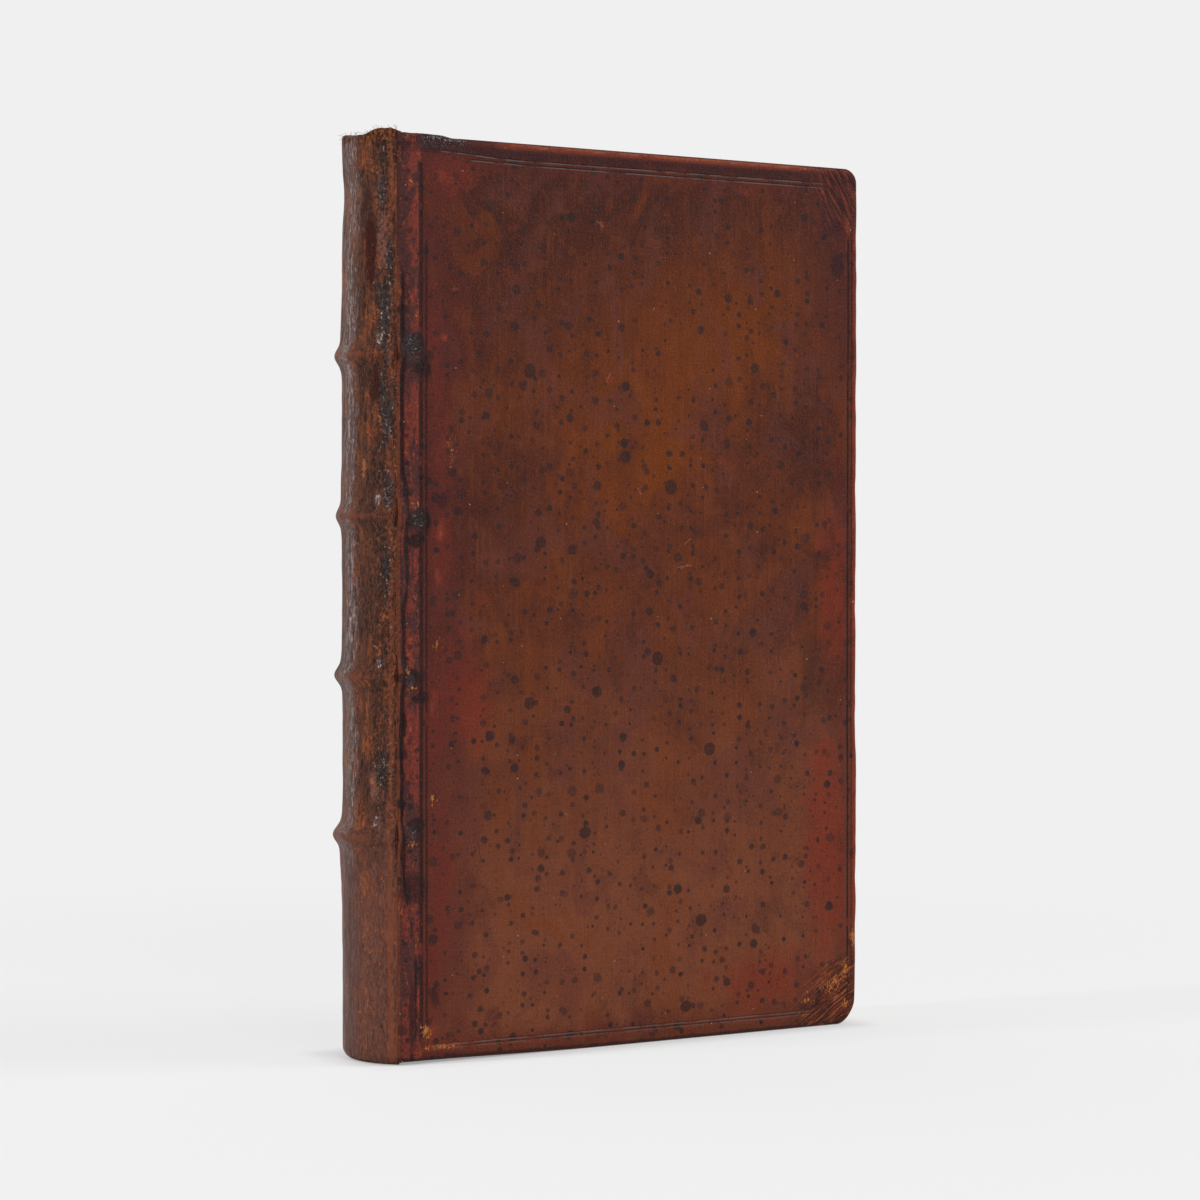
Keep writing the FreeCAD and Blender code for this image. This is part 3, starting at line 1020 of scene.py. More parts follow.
@dataclass
class CoverLeather:
    """The leather of one cover: face, rounded edges, turn-ins, joint slope and tooled fillets."""

    sizes: BookSizes
    side: Side
    finish: CoverCalf
    wear: Wear
    crack_line: tuple[tuple[float, float], ...]
    head_radius: float = 3.5
    tail_radius: float = 5.5
    outer_round: float = 1.2
    inner_round: float = 0.4
    slope_width: float = 2.2
    slope_sink: float = 0.8
    slit: float = 0.15
    strip_thickness: float = 0.6
    board_setback: float = 1.2
    turn_in_width: float = 13.0
    window_sink: float = 0.6
    proud: float = 0.34
    step: float = 1.05
    offsets: tuple[float, ...] = (-0.5, -0.28, -0.1, 0.1, 0.28, 0.5)

    @property
    def thickness(self) -> float:
        """From the outer face to the turn-ins."""
        return self.sizes.face_y - self.sizes.turn_in_y

    @property
    def start_x(self) -> float:
        """Where the leather begins at the joint."""
        return self.sizes.joint_x + self.slit

    @property
    def board_x(self) -> float:
        """Where the board begins under the leather."""
        return self.sizes.joint_x + self.board_setback

    def rim_profile(self, reach: Array) -> tuple[Array, Array]:
        """The edge's section, followed from the face round to the turn-in.

        Args:
            reach: The way left to the outline, measured along the leather's surface.

        Returns:
            How far inside the outline each place lies, and how deep under the face.
        """
        arc, small = self.outer_round, self.inner_round
        flat = self.thickness - arc - small
        past = arc - reach
        turn = np.clip(past / arc, 0, math.pi / 2)
        down = np.clip(past - arc * math.pi / 2, 0, flat)
        back = np.clip((past - arc * math.pi / 2 - flat) / small, 0, math.pi / 2)
        inset = np.where(past <= 0, reach, arc * (1 - np.sin(turn)) + small * (1 - np.cos(back)))
        depth = np.where(past <= 0, 0, arc * (1 - np.cos(turn)) + down + small * np.sin(back))
        return inset, depth

    def rim_steps(self) -> Array:
        """The rows that carry the leather over an edge, from the last one to the first."""
        arc, small = self.outer_round, self.inner_round
        flat = self.thickness - arc - small
        quarter = math.pi / 2
        over = [arc - arc * quarter * share for share in (0.14, 0.3, 0.46, 0.62, 0.8, 1.0)]
        low = over[-1]
        edge = [low - flat * share for share in (0.35, 0.7, 1.0)]
        end = [edge[-1] - small * quarter * share for share in (0.33, 0.66, 1.0)]
        return np.array(sorted(over + edge + end))

    def columns(self) -> Array:
        """The grid's columns, as ways to the fore edge."""
        board = self.board_x
        near = [self.start_x + value for value in (0, 0.16, 0.32, 0.5, 0.68, 0.85)]
        near += [board - 0.09, board + 0.01, board + 0.2, board + 0.45, board + 0.75]
        begin = self.sizes.joint_x + self.slope_width
        lines = [line.place for line in self.finish.fillets if not line.along_x]
        inner = self.sizes.fore_x - self.outer_round
        face = graded(begin, inner, self.step, lines, self.offsets)
        ways = self.sizes.fore_x - np.concatenate([near, face])
        return np.concatenate([ways, self.rim_steps()[::-1]])

    def rows(self) -> Array:
        """The grid's rows as ways: height above the tail edge, then way to the head edge."""
        lines = [line.place for line in self.finish.fillets if line.along_x]
        low, high = self.outer_round, self.sizes.cover_height - self.outer_round
        face = graded(low, high, self.step, lines, self.offsets)
        steps = self.rim_steps()
        return np.concatenate([steps, face, self.sizes.cover_height - steps[::-1]])

    def plan(self, way_fore: Array, row: Array,
             rounded: bool = True) -> tuple[Array, Array, Array]:
        """Places the unrolled grid on the cover, with round corners.

        Args:
            way_fore: Each point's way to the fore edge.
            row: Each point's way along Z, past either end on the rims.
            rounded: Whether the grid is carried over the rounded edges or stays flat.

        Returns:
            X, Z and the depth under the face.
        """
        profile = self.rim_profile if rounded else lambda way: (way, way * 0)
        height = self.sizes.cover_height
        upper = row > height / 2
        way_end = np.where(upper, height - row, row)
        radius = np.where(upper, self.head_radius, self.tail_radius)
        across, along = radius - way_fore, radius - way_end
        corner = (across > 0) & (along > 0)
        reach, small = np.maximum(across, along), np.minimum(across, along)
        share = np.where(reach > 0, small / np.where(reach > 0, reach, 1), 0)
        share = np.clip(share, 0, 1) * math.pi / 4
        angle = np.where(across >= along, share, math.pi / 2 - share)
        inset_c, depth_c = profile(radius - reach)
        inset_f, depth_f = profile(way_fore)
        inset_e, depth_e = profile(way_end)
        in_x = np.where(corner, radius - (radius - inset_c) * np.cos(angle), inset_f)
        in_z = np.where(corner, radius - (radius - inset_c) * np.sin(angle), inset_e)
        depth = np.where(corner, depth_c, np.maximum(depth_f, depth_e))
        return self.sizes.fore_x - in_x, np.where(upper, height - in_z, in_z), depth

    def joint_crack(self, z: Array) -> Array:
        """Where the crack of the joint runs at each height."""
        heights = [place for place, _ in self.crack_line]
        places = [x for _, x in self.crack_line]
        return np.interp(z, heights, places) + 0.22 * waves(z / 7, z * 0, 21, 2)

    def slope(self, x: Array) -> Array:
        """How far the leather sinks towards the joint."""
        end = self.sizes.joint_x + self.slope_width + 0.4
        return self.slope_sink * (1 - ramp(x, self.start_x, end))

    def relief(self, x: Array, z: Array) -> Array:
        """How far the face lies under its plane: joint slope, lumps, grooves and waves."""
        joint = self.sizes.joint_x
        lump = np.zeros_like(x)
        for height in BAND_HEIGHTS:
            ridge = bump_at(z, height + 0.4, 2.6) * (1 - ramp(x, joint + 3.2, joint + 8.0))
            lump = np.maximum(lump, ridge * (1 + 0.3 * waves(x / 1.6, z / 1.6, 17, 3)))
        dip = self.slope(x) * (1 - 0.95 * lump) - 0.4 * lump
        crack = bump_at(x, self.joint_crack(z), 0.4) * (1 - 0.5 * lump)
        dip = dip + 0.3 * crack * (1 - ramp(z, 168, 178))
        for line in self.finish.fillets:
            across, along = (z, x) if line.along_x else (x, z)
            ends = ramp(along, line.start - 0.4, line.start + 1.5)
            ends = ends * (1 - ramp(along, line.end - 1.5, line.end + 0.4))
            stray = line.stray * (1 - ramp(along, line.start, line.start + STRAY_LENGTH))
            dip = dip + 0.13 * bump_at(across, line.place + stray, line.half_width * 0.9) * ends
        near = 1 - ramp(x, joint + 2, joint + 16)
        dip = dip + 0.1 * waves(x / 34, z / 46, 5 + self.side.value, 2)
        dip = dip + 0.05 * waves(x / 6, z / 8, 8, 3) * (0.4 + near)
        return np.maximum(dip, -self.proud)

    def outer_side(self, way: Array, row: Array) -> tuple[Array, Array, Array, Array]:
        """The side that shows: X, Z, depth under the face, and the rims' share of that depth."""
        x, z, rim = self.plan(way, row)
        rim_share = rim / self.thickness
        thin = x < self.board_x - 0.02
        rim = np.where(thin, rim_share * self.strip_thickness, rim)
        slope = self.slope(x)
        depth = rim + np.where(thin, slope, slope * (1 - rim_share))
        fade = 1 - np.clip(rim / self.outer_round, 0, 1)
        return x, z, depth + (self.relief(x, z) - slope) * fade, rim

    def inner_side(self, way: Array, row: Array) -> tuple[Array, Array, Array]:
        """The side with the turn-ins and the sunk window: X, Z and depth under the face."""
        edge, height = self.outer_round, self.sizes.cover_height

        def drawn_in(left: Array) -> Array:
            """The way left to an edge on the rim's rows, which lie closer together here."""
            return self.inner_round + 0.3 * (left - self.rim_steps()[0])

        upper = row > height - edge
        row = np.where(row < edge, drawn_in(row), row)
        row = np.where(upper, height - drawn_in(height - row), row)
        x, z, _ = self.plan(np.where(way < edge, drawn_in(way), way), row, rounded=False)
        window = (x < self.sizes.fore_x - self.turn_in_width) & (x > self.board_x)
        window &= (z > self.turn_in_width) & (z < height - self.turn_in_width)
        depth = np.where(window, self.thickness - self.window_sink, self.thickness)
        return x, z, np.where(x < self.board_x - 0.02, self.slope_sink + self.strip_thickness, depth)

    def wear_outline(self, points: Array) -> None:
        """Moves points at the head, the foot and the fore edge to where wear has left them."""
        fore = self.sizes.fore_x
        x, y, z = points.T
        lump = 1 - ramp(x, -50.0, -43.0) - 0.35 * waves(x / 2.5, y, 91)
        z += 0.5 * lump * (x < -42) * ramp(z, 196.0, 199.6)
        z += 0.6 * (1 - ramp(x, -57.0, -8.0)) * (1 - ramp(z, 0.8, 5.0))
        uneven = 0.16 * waves(z / 7, z * 0, 92, 3) - 0.1 - 0.9 * np.clip(1 - z / 15, 0, 1) ** 2
        x += uneven * ramp(x, fore - 6, fore - 0.5)

    def build(self) -> bpy.types.Object:
        """Builds and dresses the leather.

        Returns:
            The cover's leather, riding on its cover.
        """
        way, row = np.meshgrid(self.columns(), self.rows())
        x, z, outer, rim = self.outer_side(way, row)
        inside = self.inner_side(way, row)
        for inner, seen in zip(inside, (x, z, outer)):
            inner[0], inner[-1], inner[:, -1] = seen[0], seen[-1], seen[:, -1]
        face_y, sign = self.sizes.face_y, self.side.value
        points = np.concatenate([
            np.stack([part_x, sign * (face_y - depth), part_z], -1).reshape(-1, 3)
            for part_x, part_z, depth in ((x, z, outer), inside)
        ])
        half, (row_count, column_count) = x.size, x.shape
        faces = grid_faces(row_count, column_count)
        faces += grid_faces(row_count, column_count, half, True)
        faces += [(first, first + column_count, first + column_count + half, first + half)
                  for first in range(0, half - column_count, column_count)]
        marks = {name: np.concatenate([values.ravel(), np.full(half, -1.0)])
                 for name, values in self.marks(x, z, rim).items()}
        way_out = np.minimum(np.minimum(way, row), self.sizes.cover_height - row)
        marks["edge"] = np.concatenate([way_out.ravel(), np.full(half, 5.0)])
        self.wear_outline(points)
        piece = sheet_object(f"{self.side.label}_calf", points, faces, **marks)
        closed(piece)
        dress(piece, self.finish.material())
        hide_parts(f"{self.side.label}_leather")
        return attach(piece, f"{self.side.label}_cover")

    def marks(self, x: Array, z: Array, rim: Array) -> dict[str, Array]:
        """The wear that the finish reads, at each point of the outer side, with a painted shade along
        the foot.
        """
        joint, fore, height = self.sizes.joint_x, self.sizes.fore_x, self.sizes.cover_height
        worn = {name: field_of(self.wear.get(name, ()), x, z) for name in COVER_WEAR}
        in_strip = 1 - ramp(x, joint + 5.2, joint + 6.0)
        upper = ramp(z, 165, 178)
        worn["strip"] = ramp(x, joint + 0.1, joint + 0.6) * in_strip
        worn["red"] = ramp(x, joint + 0.9 + upper, joint + 1.5 + 1.2 * upper) * in_strip
        worn["fold"] = (1 - ramp(x, joint + 0.5, joint + 1.1)) * (1 - upper)
        width = np.maximum(0.5 + 0.2 * waves(z / 3, z * 0, 31, 2), 0.1)
        crack = 1 - np.abs(x - self.joint_crack(z)) / width - 2 * ramp(z, 168, 176)
        worn["crack"] = np.clip(np.maximum(crack, worn["crack"]), -1, 1)
        top = 0.75 * bump_at(z, height - 2.6, 1.5) - 0.2
        # Painted shade: a dark line along the foot, where the cover stands on the floor
        foot_shade = (0.95 - np.clip(z, 0, None) / 1.5) * (rim < self.thickness)
        head_rim = (1.2 * bump_at(rim, 0.85, 0.5) - 0.1) * ramp(z, 190, 197)
        worn["dark_wear_and_shade"] = np.max([top, foot_shade, head_rim, worn["dark_wear_and_shade"]], 0)
        corner = np.hypot(np.maximum(x - fore + 9, 0), np.maximum(8 - z, 0))
        rubbed = [
            worn["rub"],
            0.8 - (fore - x) / 3.0,
            0.55 - np.abs(z - 2.4) / 1.4,
            (0.95 - np.clip(height - z, 0, None) / 2.6) * ramp(x, -38, -30),
            ramp(corner, 7.5, 11.0) * 0.9 - 0.2,
        ]
        worn["rub"] = np.clip(np.max(rubbed, 0) - 0.55 * ramp(rim, 0.9, 1.8), -1, 1)
        return worn


@dataclass(frozen=True)
class Band:
    """One raised band of the spine."""

    height: float
    rise: float
    up_reach: float
    down_reach: float


@dataclass
class SpineLeather:
    """The leather over the rounded back, its raised bands and the caps turned in at both ends."""

    sizes: BookSizes
    bands: tuple[Band, ...]
    finish: SpineCalf
    wear: Wear
    round_height: float = 4.9
    band_crest: float = 1.7
    thickness: float = 0.8
    cap_round: float = 0.95
    foot_round: float = 2.4
    lip: float = 3.0
    columns: int = 97
    step: float = 0.85
    slit: float = 0.15

    @property
    def end_x(self) -> float:
        """Where the leather ends at the joints."""
        return self.sizes.joint_x - self.slit

    def arc(self, rise: float) -> tuple[float, float]:
        """The centre and radius of the arc through both ends with that rise."""
        half = self.sizes.spine_half
        radius = (half * half + rise * rise) / (2 * rise)
        return self.end_x - rise + radius, radius

    def band_share(self, z: Array) -> tuple[Array, Array]:
        """How far the bands lift the leather at each height, and how near a crest it is."""
        lift, crest = np.zeros_like(z), np.zeros_like(z)
        for band in self.bands:
            away = z - band.height
            reach = np.where(away > 0, band.up_reach, band.down_reach)
            near = np.exp(-np.abs(away / 2.0) ** 2.2)
            wide = np.exp(-np.abs(away / reach) ** 1.5)
            lift = np.maximum(lift, band.rise / self.band_crest * (0.68 * near + 0.32 * wide))
            crest = np.maximum(crest, np.exp(-((away / 1.1) ** 2)))
        return lift, crest

    def cap_rows(self, radius: float) -> tuple[Array, Array]:
        """The rows of one cap, from its lip outwards: height over its end, and way inwards."""
        turn = np.linspace(0, math.pi / 2, 7)[::-1]
        lip = np.linspace(self.lip, radius, 5)[:-1]
        height = np.concatenate([lip * 0, radius * (1 - np.sin(turn))])
        return height, np.concatenate([lip, radius * (1 - np.cos(turn))])

    def section(self) -> tuple[Array, Array]:
        """The rows from the tail lip to the head lip: height and way inwards."""
        top = self.sizes.cap_z
        foot, foot_in = self.cap_rows(self.foot_round)
        head, head_in = self.cap_rows(self.cap_round)
        body = graded(self.foot_round, top - self.cap_round, self.step,
                      [band.height for band in self.bands],
                      (-2.4, -1.6, -0.9, -0.4, 0.0, 0.4, 0.9, 1.6, 2.4))[1:-1]
        heights = np.concatenate([foot, body, top - head[::-1]])
        return heights, np.concatenate([foot_in, body * 0, head_in[::-1]])

    def build(self) -> bpy.types.Object:
        """Builds and dresses the spine's leather.

        Returns:
            The spine's leather, riding on the text block.
        """
        heights, inwards = self.section()
        share = np.linspace(-1, 1, self.columns)
        share = np.sin(share * math.pi / 2) * 0.35 + share * 0.65
        z, s = np.meshgrid(heights, share, indexing="ij")
        inward = np.repeat(inwards[:, None], self.columns, 1)
        y = self.sizes.spine_half * s
        plain_x, plain_r = self.arc(self.round_height)
        x = plain_x - np.sqrt(plain_r**2 - y**2)
        lift, crest = self.band_share(z)
        across = (1 - s**2) ** 0.5
        dent = 0.75 * bump_at(z, 188.0, 5.0) * across
        fade = np.clip(across * 3, 0, 1) * (1 - np.clip(inward / self.cap_round, 0, 1))
        rough = 0.1 * waves(y / 3.2, z / 7.0, 41, 3) + 0.06 * waves(y / 1.1, z / 6.0, 42, 2)
        x = x + dent + rough * fade
        radial = np.stack([x - plain_x, y, np.zeros_like(x)], -1)
        radial /= np.linalg.norm(radial, axis=-1, keepdims=True)
        turn = plain_r * np.arcsin(np.clip(y / plain_r, -1, 1))
        fold = 0.3 * bump_at(turn, -9.2, 1.2) - 0.55 * bump_at(turn, -6.8, 1.2)
        outward = self.band_crest * lift * (1 - 0.72 * np.abs(s) ** 4) - inward
        outward = outward + fold * bump_at(z, 176.0, 9.0)
        points = np.stack([x, y, z], -1) + radial * outward[..., None]
        ends = np.clip((1 - np.abs(s)) * 12, 0, 1)
        wave = 0.18 * waves(y / 2.2, z * 0, 45, 3) * ends
        peak = bump_at(s, -0.78, 0.3) + 0.7 * bump_at(s, 0.55, 0.4)
        points[..., 2] += (wave - 1.15 + 1.1 * peak) * ramp(z, 196, 200.5)
        worn = self.marks(turn, z, crest * across, inward)
        piece = grid_object("spine_calf", points, turned=True, **worn)
        thickened(piece, self.thickness, -1)
        dress(piece, self.finish.material())
        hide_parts("spine_leather")
        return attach(piece, "text_block")

    def marks(self, turn: Array, z: Array, crest: Array, inward: Array) -> dict[str, Array]:
        """The wear that the finish reads, at each point."""
        edge = self.sizes.spine_half
        ridge = 1 - np.abs(np.abs(turn) - edge - 0.2) / 1.5
        worn = 0.55 + 0.45 * np.maximum(bump_at(turn, -8.5, 4.0), bump_at(turn, 5.0, 4.0))
        fray = np.maximum(ramp(z, 196.0, 201.2) * worn, ramp(-z, -2.0, 0.0) * 0.5)
        fray = np.maximum(fray, ramp(inward, 0.1, 1.0) * 0.8)
        seam = 0.1 - np.abs(np.abs(turn) - 10.0 - 0.9 * waves(z / 9, z * 0, 47, 3)) / 1.6
        seam = seam - 1.2 * (1 - ramp(z, 50, 64)) - 0.5 * waves(z / 13, z * 0, 48, 2)
        worn = {name: field_of(self.wear.get(name, ()), turn, z) for name in SPINE_WEAR}
        worn["black"] = np.maximum(worn["black"], seam)
        worn["gloss"] = np.clip(worn["gloss"] * 2, 0, 1)
        return worn | {"turn": turn, "crest": crest, "ridge": np.clip(ridge, -1, 1), "fray": fray}


# What the finishes read on the joint's thin strips
STRIP_MARKS = (
    ("turn", 11.5), ("edge", 9.0), ("black", -0.4), ("ridge", 0.7), ("red", -1.0), ("pink", -1.0),
    ("tan", -1.0),
)


@dataclass
class JointStrip:
    """The thin leather left in a joint's crack, and the paper that lines the joint inside."""

    sizes: BookSizes
    side: Side
    leather: bpy.types.Material
    paper: bpy.types.Material
    slit: float = 0.15
    strip_y: float = 11.03
    shoulder_x: float = -57.83
    board_x: float = -57.33
    fold_y: float = 10.1

    def swept(self, name: str, path: Sequence[tuple[float, float]], low: float, high: float,
              thickness: float) -> bpy.types.Object:
        """Sweeps a path of X and Y along Z and gives it a thickness.

        Args:
            name: The piece's name.
            path: The front side's path.
            low: Its lower end.
            high: Its upper end.
            thickness: How thick it is.

        Returns:
            The piece.
        """
        sign = -self.side.value
        heights = np.linspace(low, high, 41)
        points = np.array([[(x, sign * y, z) for x, y in path] for z in heights])
        worn = {mark: np.full(points.shape[:2], value) for mark, value in STRIP_MARKS}
        return closed(thickened(grid_object(name, points, **worn), thickness))

    def build(self) -> None:
        """Builds both strips between the text block and its cover."""
        joint, half = self.sizes.joint_x, self.slit
        sign = -self.side.value
        label = self.side.label
        path = [(joint + half * share, -self.strip_y) for share in np.linspace(-1.05, 1.05, 7)]
        strip = self.swept(f"{label}_joint_leather", path, 0.6, 199.0, 0.35)
        dress(strip, self.leather)
        start, end = (Vector(((joint + place) * MM, -0.011 * sign, 0.1)) for place in (-half, half))
        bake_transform(strip)

        left, right = self.shoulder_x, self.board_x
        middle, radius = (left + right) / 2, (right - left) / 2
        path = [(left, y) for y in np.linspace(-8.15, -self.fold_y, 6)]
        path += [
            (middle - radius * math.cos(angle), -self.fold_y - radius * math.sin(angle))
            for angle in np.linspace(0, math.pi, 9)[1:-1]
        ]
        path += [(right, y) for y in np.linspace(-self.fold_y, -8.45, 6)]
        lining = self.swept(f"{label}_joint_paper", path, 4.0, 196.0, 0.06)
        dress(lining, self.paper)
        inside = (left + 0.05, right - 0.05)
        start, end = (Vector((place * MM, -0.009 * sign, 0.1)) for place in inside)
        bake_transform(lining)


# Paper

@dataclass
class TextBlock:
    """The sewn leaves: rounded back, shoulders, hollow fore edge and uneven leaf edges."""

    sizes: BookSizes
    finish: LeafEdges
    half: float = 8.0
    joint_half: float = 9.0
    shoulder_half: float = 10.7
    shoulder_x: float = -57.875
    back_centre_x: float = -46.5705
    back_radius: float = 15.5545
    hollow: float = 2.8
    leaves: int = 160
    levels: int = 60

    def sheet_line(self, share: Array) -> tuple[Array, Array]:
        """The section's grid: each leaf's line from the back to the fore edge.

        Args:
            share: Each leaf's place across the block, from -1 to 1.

        Returns:
            X and Y of the points, one row for each leaf.
        """
        shoulder = self.shoulder_x
        fore = self.sizes.leaf_high.x - self.hollow * (1 - share**2)
        back_y = self.shoulder_half * share
        back_x = self.back_centre_x - np.sqrt(self.back_radius**2 - back_y**2)
        lines_x, lines_y = [], []
        for part in np.linspace(0, 1, 5)[:-1]:
            lines_x.append(back_x + (shoulder - back_x) * part)
            half = self.shoulder_half + (self.joint_half - self.shoulder_half) * part
            lines_y.append(half * share)
        for angle in np.linspace(0, math.pi / 2, 5):
            lines_x.append(shoulder + 1 - math.cos(angle) + 0 * share)
            lines_y.append((self.joint_half - math.sin(angle)) * share)
        for part in np.linspace(0, 1, 36)[1:]:
            lines_x.append(shoulder + 1 + (fore - shoulder - 1) * part)
            lines_y.append(self.half * share)
        return np.array(lines_x).T, np.array(lines_y).T

    def build(self) -> bpy.types.Object:
        """Builds and dresses the block of leaves.

        Returns:
            The block, riding on the text block.
        """
        count = self.leaves + 1
        share = np.linspace(-1, 1, count)
        x, y = self.sheet_line(share)
        number = np.arange(count)
        uneven = lattice(number, number * 0, 61) - 0.5
        gathering = lattice(number // 8, number * 0, 62) - 0.5
        inside = (np.abs(share) < 0.985)[:, None]
        low, high = self.sizes.leaf_low.z, self.sizes.leaf_high.z
        trim = ((uneven * 0.16 + gathering * 0.22)[:, None] - 0.14) * inside
        heights = np.linspace(low, high, self.levels)
        ahead = uneven * 0.2 + gathering * 0.3 - 0.2
        leaf = np.repeat((share[:, None] + 1) / 2 * self.leaves, x.shape[1], 1)
        points, faces, leafs = [], [], []

        def add(part: Array, numbers: Array) -> None:
            """Adds a grid of points to the block, with the leaves' numbers."""
            start = sum(len(chunk) for chunk in points)
            faces.extend(grid_faces(part.shape[0], part.shape[1], start))
            points.append(part.reshape(-1, 3))
            leafs.append(np.broadcast_to(numbers, part.shape[:2]).ravel())

        last = x.copy()
        last[:, -1] += ahead * inside[:, 0]
        for z, sign in ((high, 1), (low, -1)):
            add(np.stack([last, y, z + sign * trim + 0 * x], -1), leaf)
        for column in (-1, 0):
            wall = last[:, column, None], y[:, column, None], heights
            place = np.stack(np.broadcast_arrays(*wall), -1)
            place[:, 0, 2] = low - trim[:, 0]
            place[:, -1, 2] = high + trim[:, 0]
            if column == -1:
                drift = 0.12 * waves(place[:, 1:-1, 1] * 4, place[:, 1:-1, 2] / 60, 63, 2)
                place[:, 1:-1, 0] += np.minimum(drift, 0.1) * inside
            add(place, leaf[:, column, None])
        for row in (0, -1):
            side = last[row, :, None], y[row, :, None], heights
            add(np.stack(np.broadcast_arrays(*side), -1), leaf[row, :, None])
        piece = sheet_object("leaves", np.concatenate(points), faces, leaf=np.concatenate(leafs))
        closed(piece, smooth=False)
        dress(piece, self.finish.material())
        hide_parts("page_block")
        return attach(piece, "text_block")

    def endpaper(self, side: Side, material: bpy.types.Material) -> bpy.types.Object:
        """Builds the free endpaper that lies on the leaves under a cover.

        Args:
            side: Which end of the block it lies on.
            material: Its paper.

        Returns:
            The endpaper, riding on the text block.
        """
        low, high = self.sizes.leaf_low, self.sizes.leaf_high
        xs = np.linspace(self.shoulder_x + 0.35, high.x - 0.4, 90)
        zs = np.linspace(low.z + 0.3, high.z - 0.3, 140)
        x, z = np.meshgrid(xs, zs)
        lift = 0.05 + 0.03 * waves(x / 30, z / 40, 71, 2)
        near = np.exp(-((x - self.shoulder_x) / 0.6))
        y = side.value * (self.half + 0.06 + lift + 0.5 * near)
        edge = np.minimum(np.minimum(x - xs[0] + 6, xs[-1] - x), np.minimum(z - zs[0], zs[-1] - z))
        piece = grid_object(f"{side.label}_endpaper", np.stack([x, y, z], -1), edge=edge)
        closed(thickened(piece, 0.08))
        dress(piece, material)
        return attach(piece, "text_block")


@dataclass
class Pastedown:
    """The endpaper leaf glued inside a cover, sunk between the turn-ins."""

    sizes: BookSizes
    side: Side
    material: bpy.types.Material
    thickness: float = 0.2
    margin: float = 3.2
    start_x: float = -57.27
    turn_in_width: float = 13.0
    sink: float = 0.36

    def build(self) -> bpy.types.Object:
        """Builds and dresses the pastedown.

        Returns:
            The pastedown, riding on its cover.
        """
        height, fore = self.sizes.cover_height, self.sizes.fore_x
        xs = graded(self.start_x, fore - self.margin, 2.2, [fore - self.turn_in_width],
                    (-1.6, -1.2, -0.8, -0.4, 0.0, 0.4))
        zs = graded(self.margin, height - self.margin, 2.2,
                    [self.turn_in_width, height - self.turn_in_width],
                    (-1.4, -1.0, -0.5, 0.0, 0.5, 1.0, 1.4))
        x, z = np.meshgrid(xs, zs)
        inside = 1.0
        for way in (fore - x, z, height - z):
            inside = inside * ramp(way - self.turn_in_width, 0.05, 1.4)
        surface = self.sizes.turn_in_y - self.thickness + 0.02 * waves(x / 9, z / 9, 81, 2)
        y = self.side.value * (surface + self.sink * inside)
        edge = np.minimum(xs[-1] - x, np.minimum(z - zs[0], zs[-1] - z))
        points = np.stack([x, y, z], -1)
        piece = grid_object(f"{self.side.label}_pastedown_leaf", points, edge=edge)
        closed(thickened(piece, self.thickness * 0.9, self.side.value))
        dress(piece, self.material)
        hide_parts(f"{self.side.label}_pastedown")
        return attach(piece, f"{self.side.label}_cover")


# What repeats: thread windings and frayed fibres

class GrowthTree(Nodes):
    """A Geometry Nodes tree with named inputs, run once on a piece and then removed."""

    def __init__(self, name: str, inputs: dict[str, tuple[str, object]]) -> None:
        """Starts a tree.

        Args:
            name: The tree's name.
            inputs: The kind of socket and the value of each input, by its name.
        """
        super().__init__(bpy.data.node_groups.new(name, "GeometryNodeTree"))
        sockets = self.tree.interface
        for way in ("INPUT", "OUTPUT"):
            sockets.new_socket("Geometry", in_out=way, socket_type="NodeSocketGeometry")
        self.values = {}
        for label, (kind, value) in inputs.items():
            made = sockets.new_socket(label, in_out="INPUT", socket_type=f"NodeSocket{kind}")
            self.values[made.identifier] = value
        self.given = self.node("NodeGroupInput").outputs

    def laid(self, points: bpy.types.NodeSocket, instance: bpy.types.NodeSocket,
             rotation: bpy.types.NodeSocket, scale: object = (1, 1, 1)) -> bpy.types.NodeSocket:
        """Lays an instance on each point and returns the instances."""
        sockets = {"Points": points, "Instance": instance, "Rotation": rotation, "Scale": scale}
        return self.node("GeometryNodeInstanceOnPoints", {}, sockets).outputs[0]

    def ring(self, resolution: int, radius: str) -> bpy.types.NodeSocket:
        """A circle whose radius is one of the tree's inputs."""
        sockets = {"Resolution": resolution, "Radius": self.given[radius]}
        made = self.node("GeometryNodeCurvePrimitiveCircle", {"mode": "RADIUS"}, sockets)
        return made.outputs[0]

    def grow(self, piece: bpy.types.Object, geometry: bpy.types.NodeSocket) -> bpy.types.Object:
        """Ends the tree, with its instances made real, and runs it on a piece.

        Args:
            piece: The piece.
            geometry: What the tree has made.

        Returns:
            The piece with the result as its plain mesh.
        """
        real = self.node("GeometryNodeRealizeInstances", {}, {"Geometry": geometry})
        sockets = {"Geometry": real.outputs[0], "Material": self.given["Material"]}
        dressed = self.node("GeometryNodeSetMaterial", {}, sockets)
        self.node("NodeGroupOutput", {}, {0: dressed.outputs[0]})
        modifier = piece.modifiers.new("growth", "NODES")
        modifier.node_group = self.tree
        for identifier, value in self.values.items():
            modifier[identifier] = value
        return finished(piece)


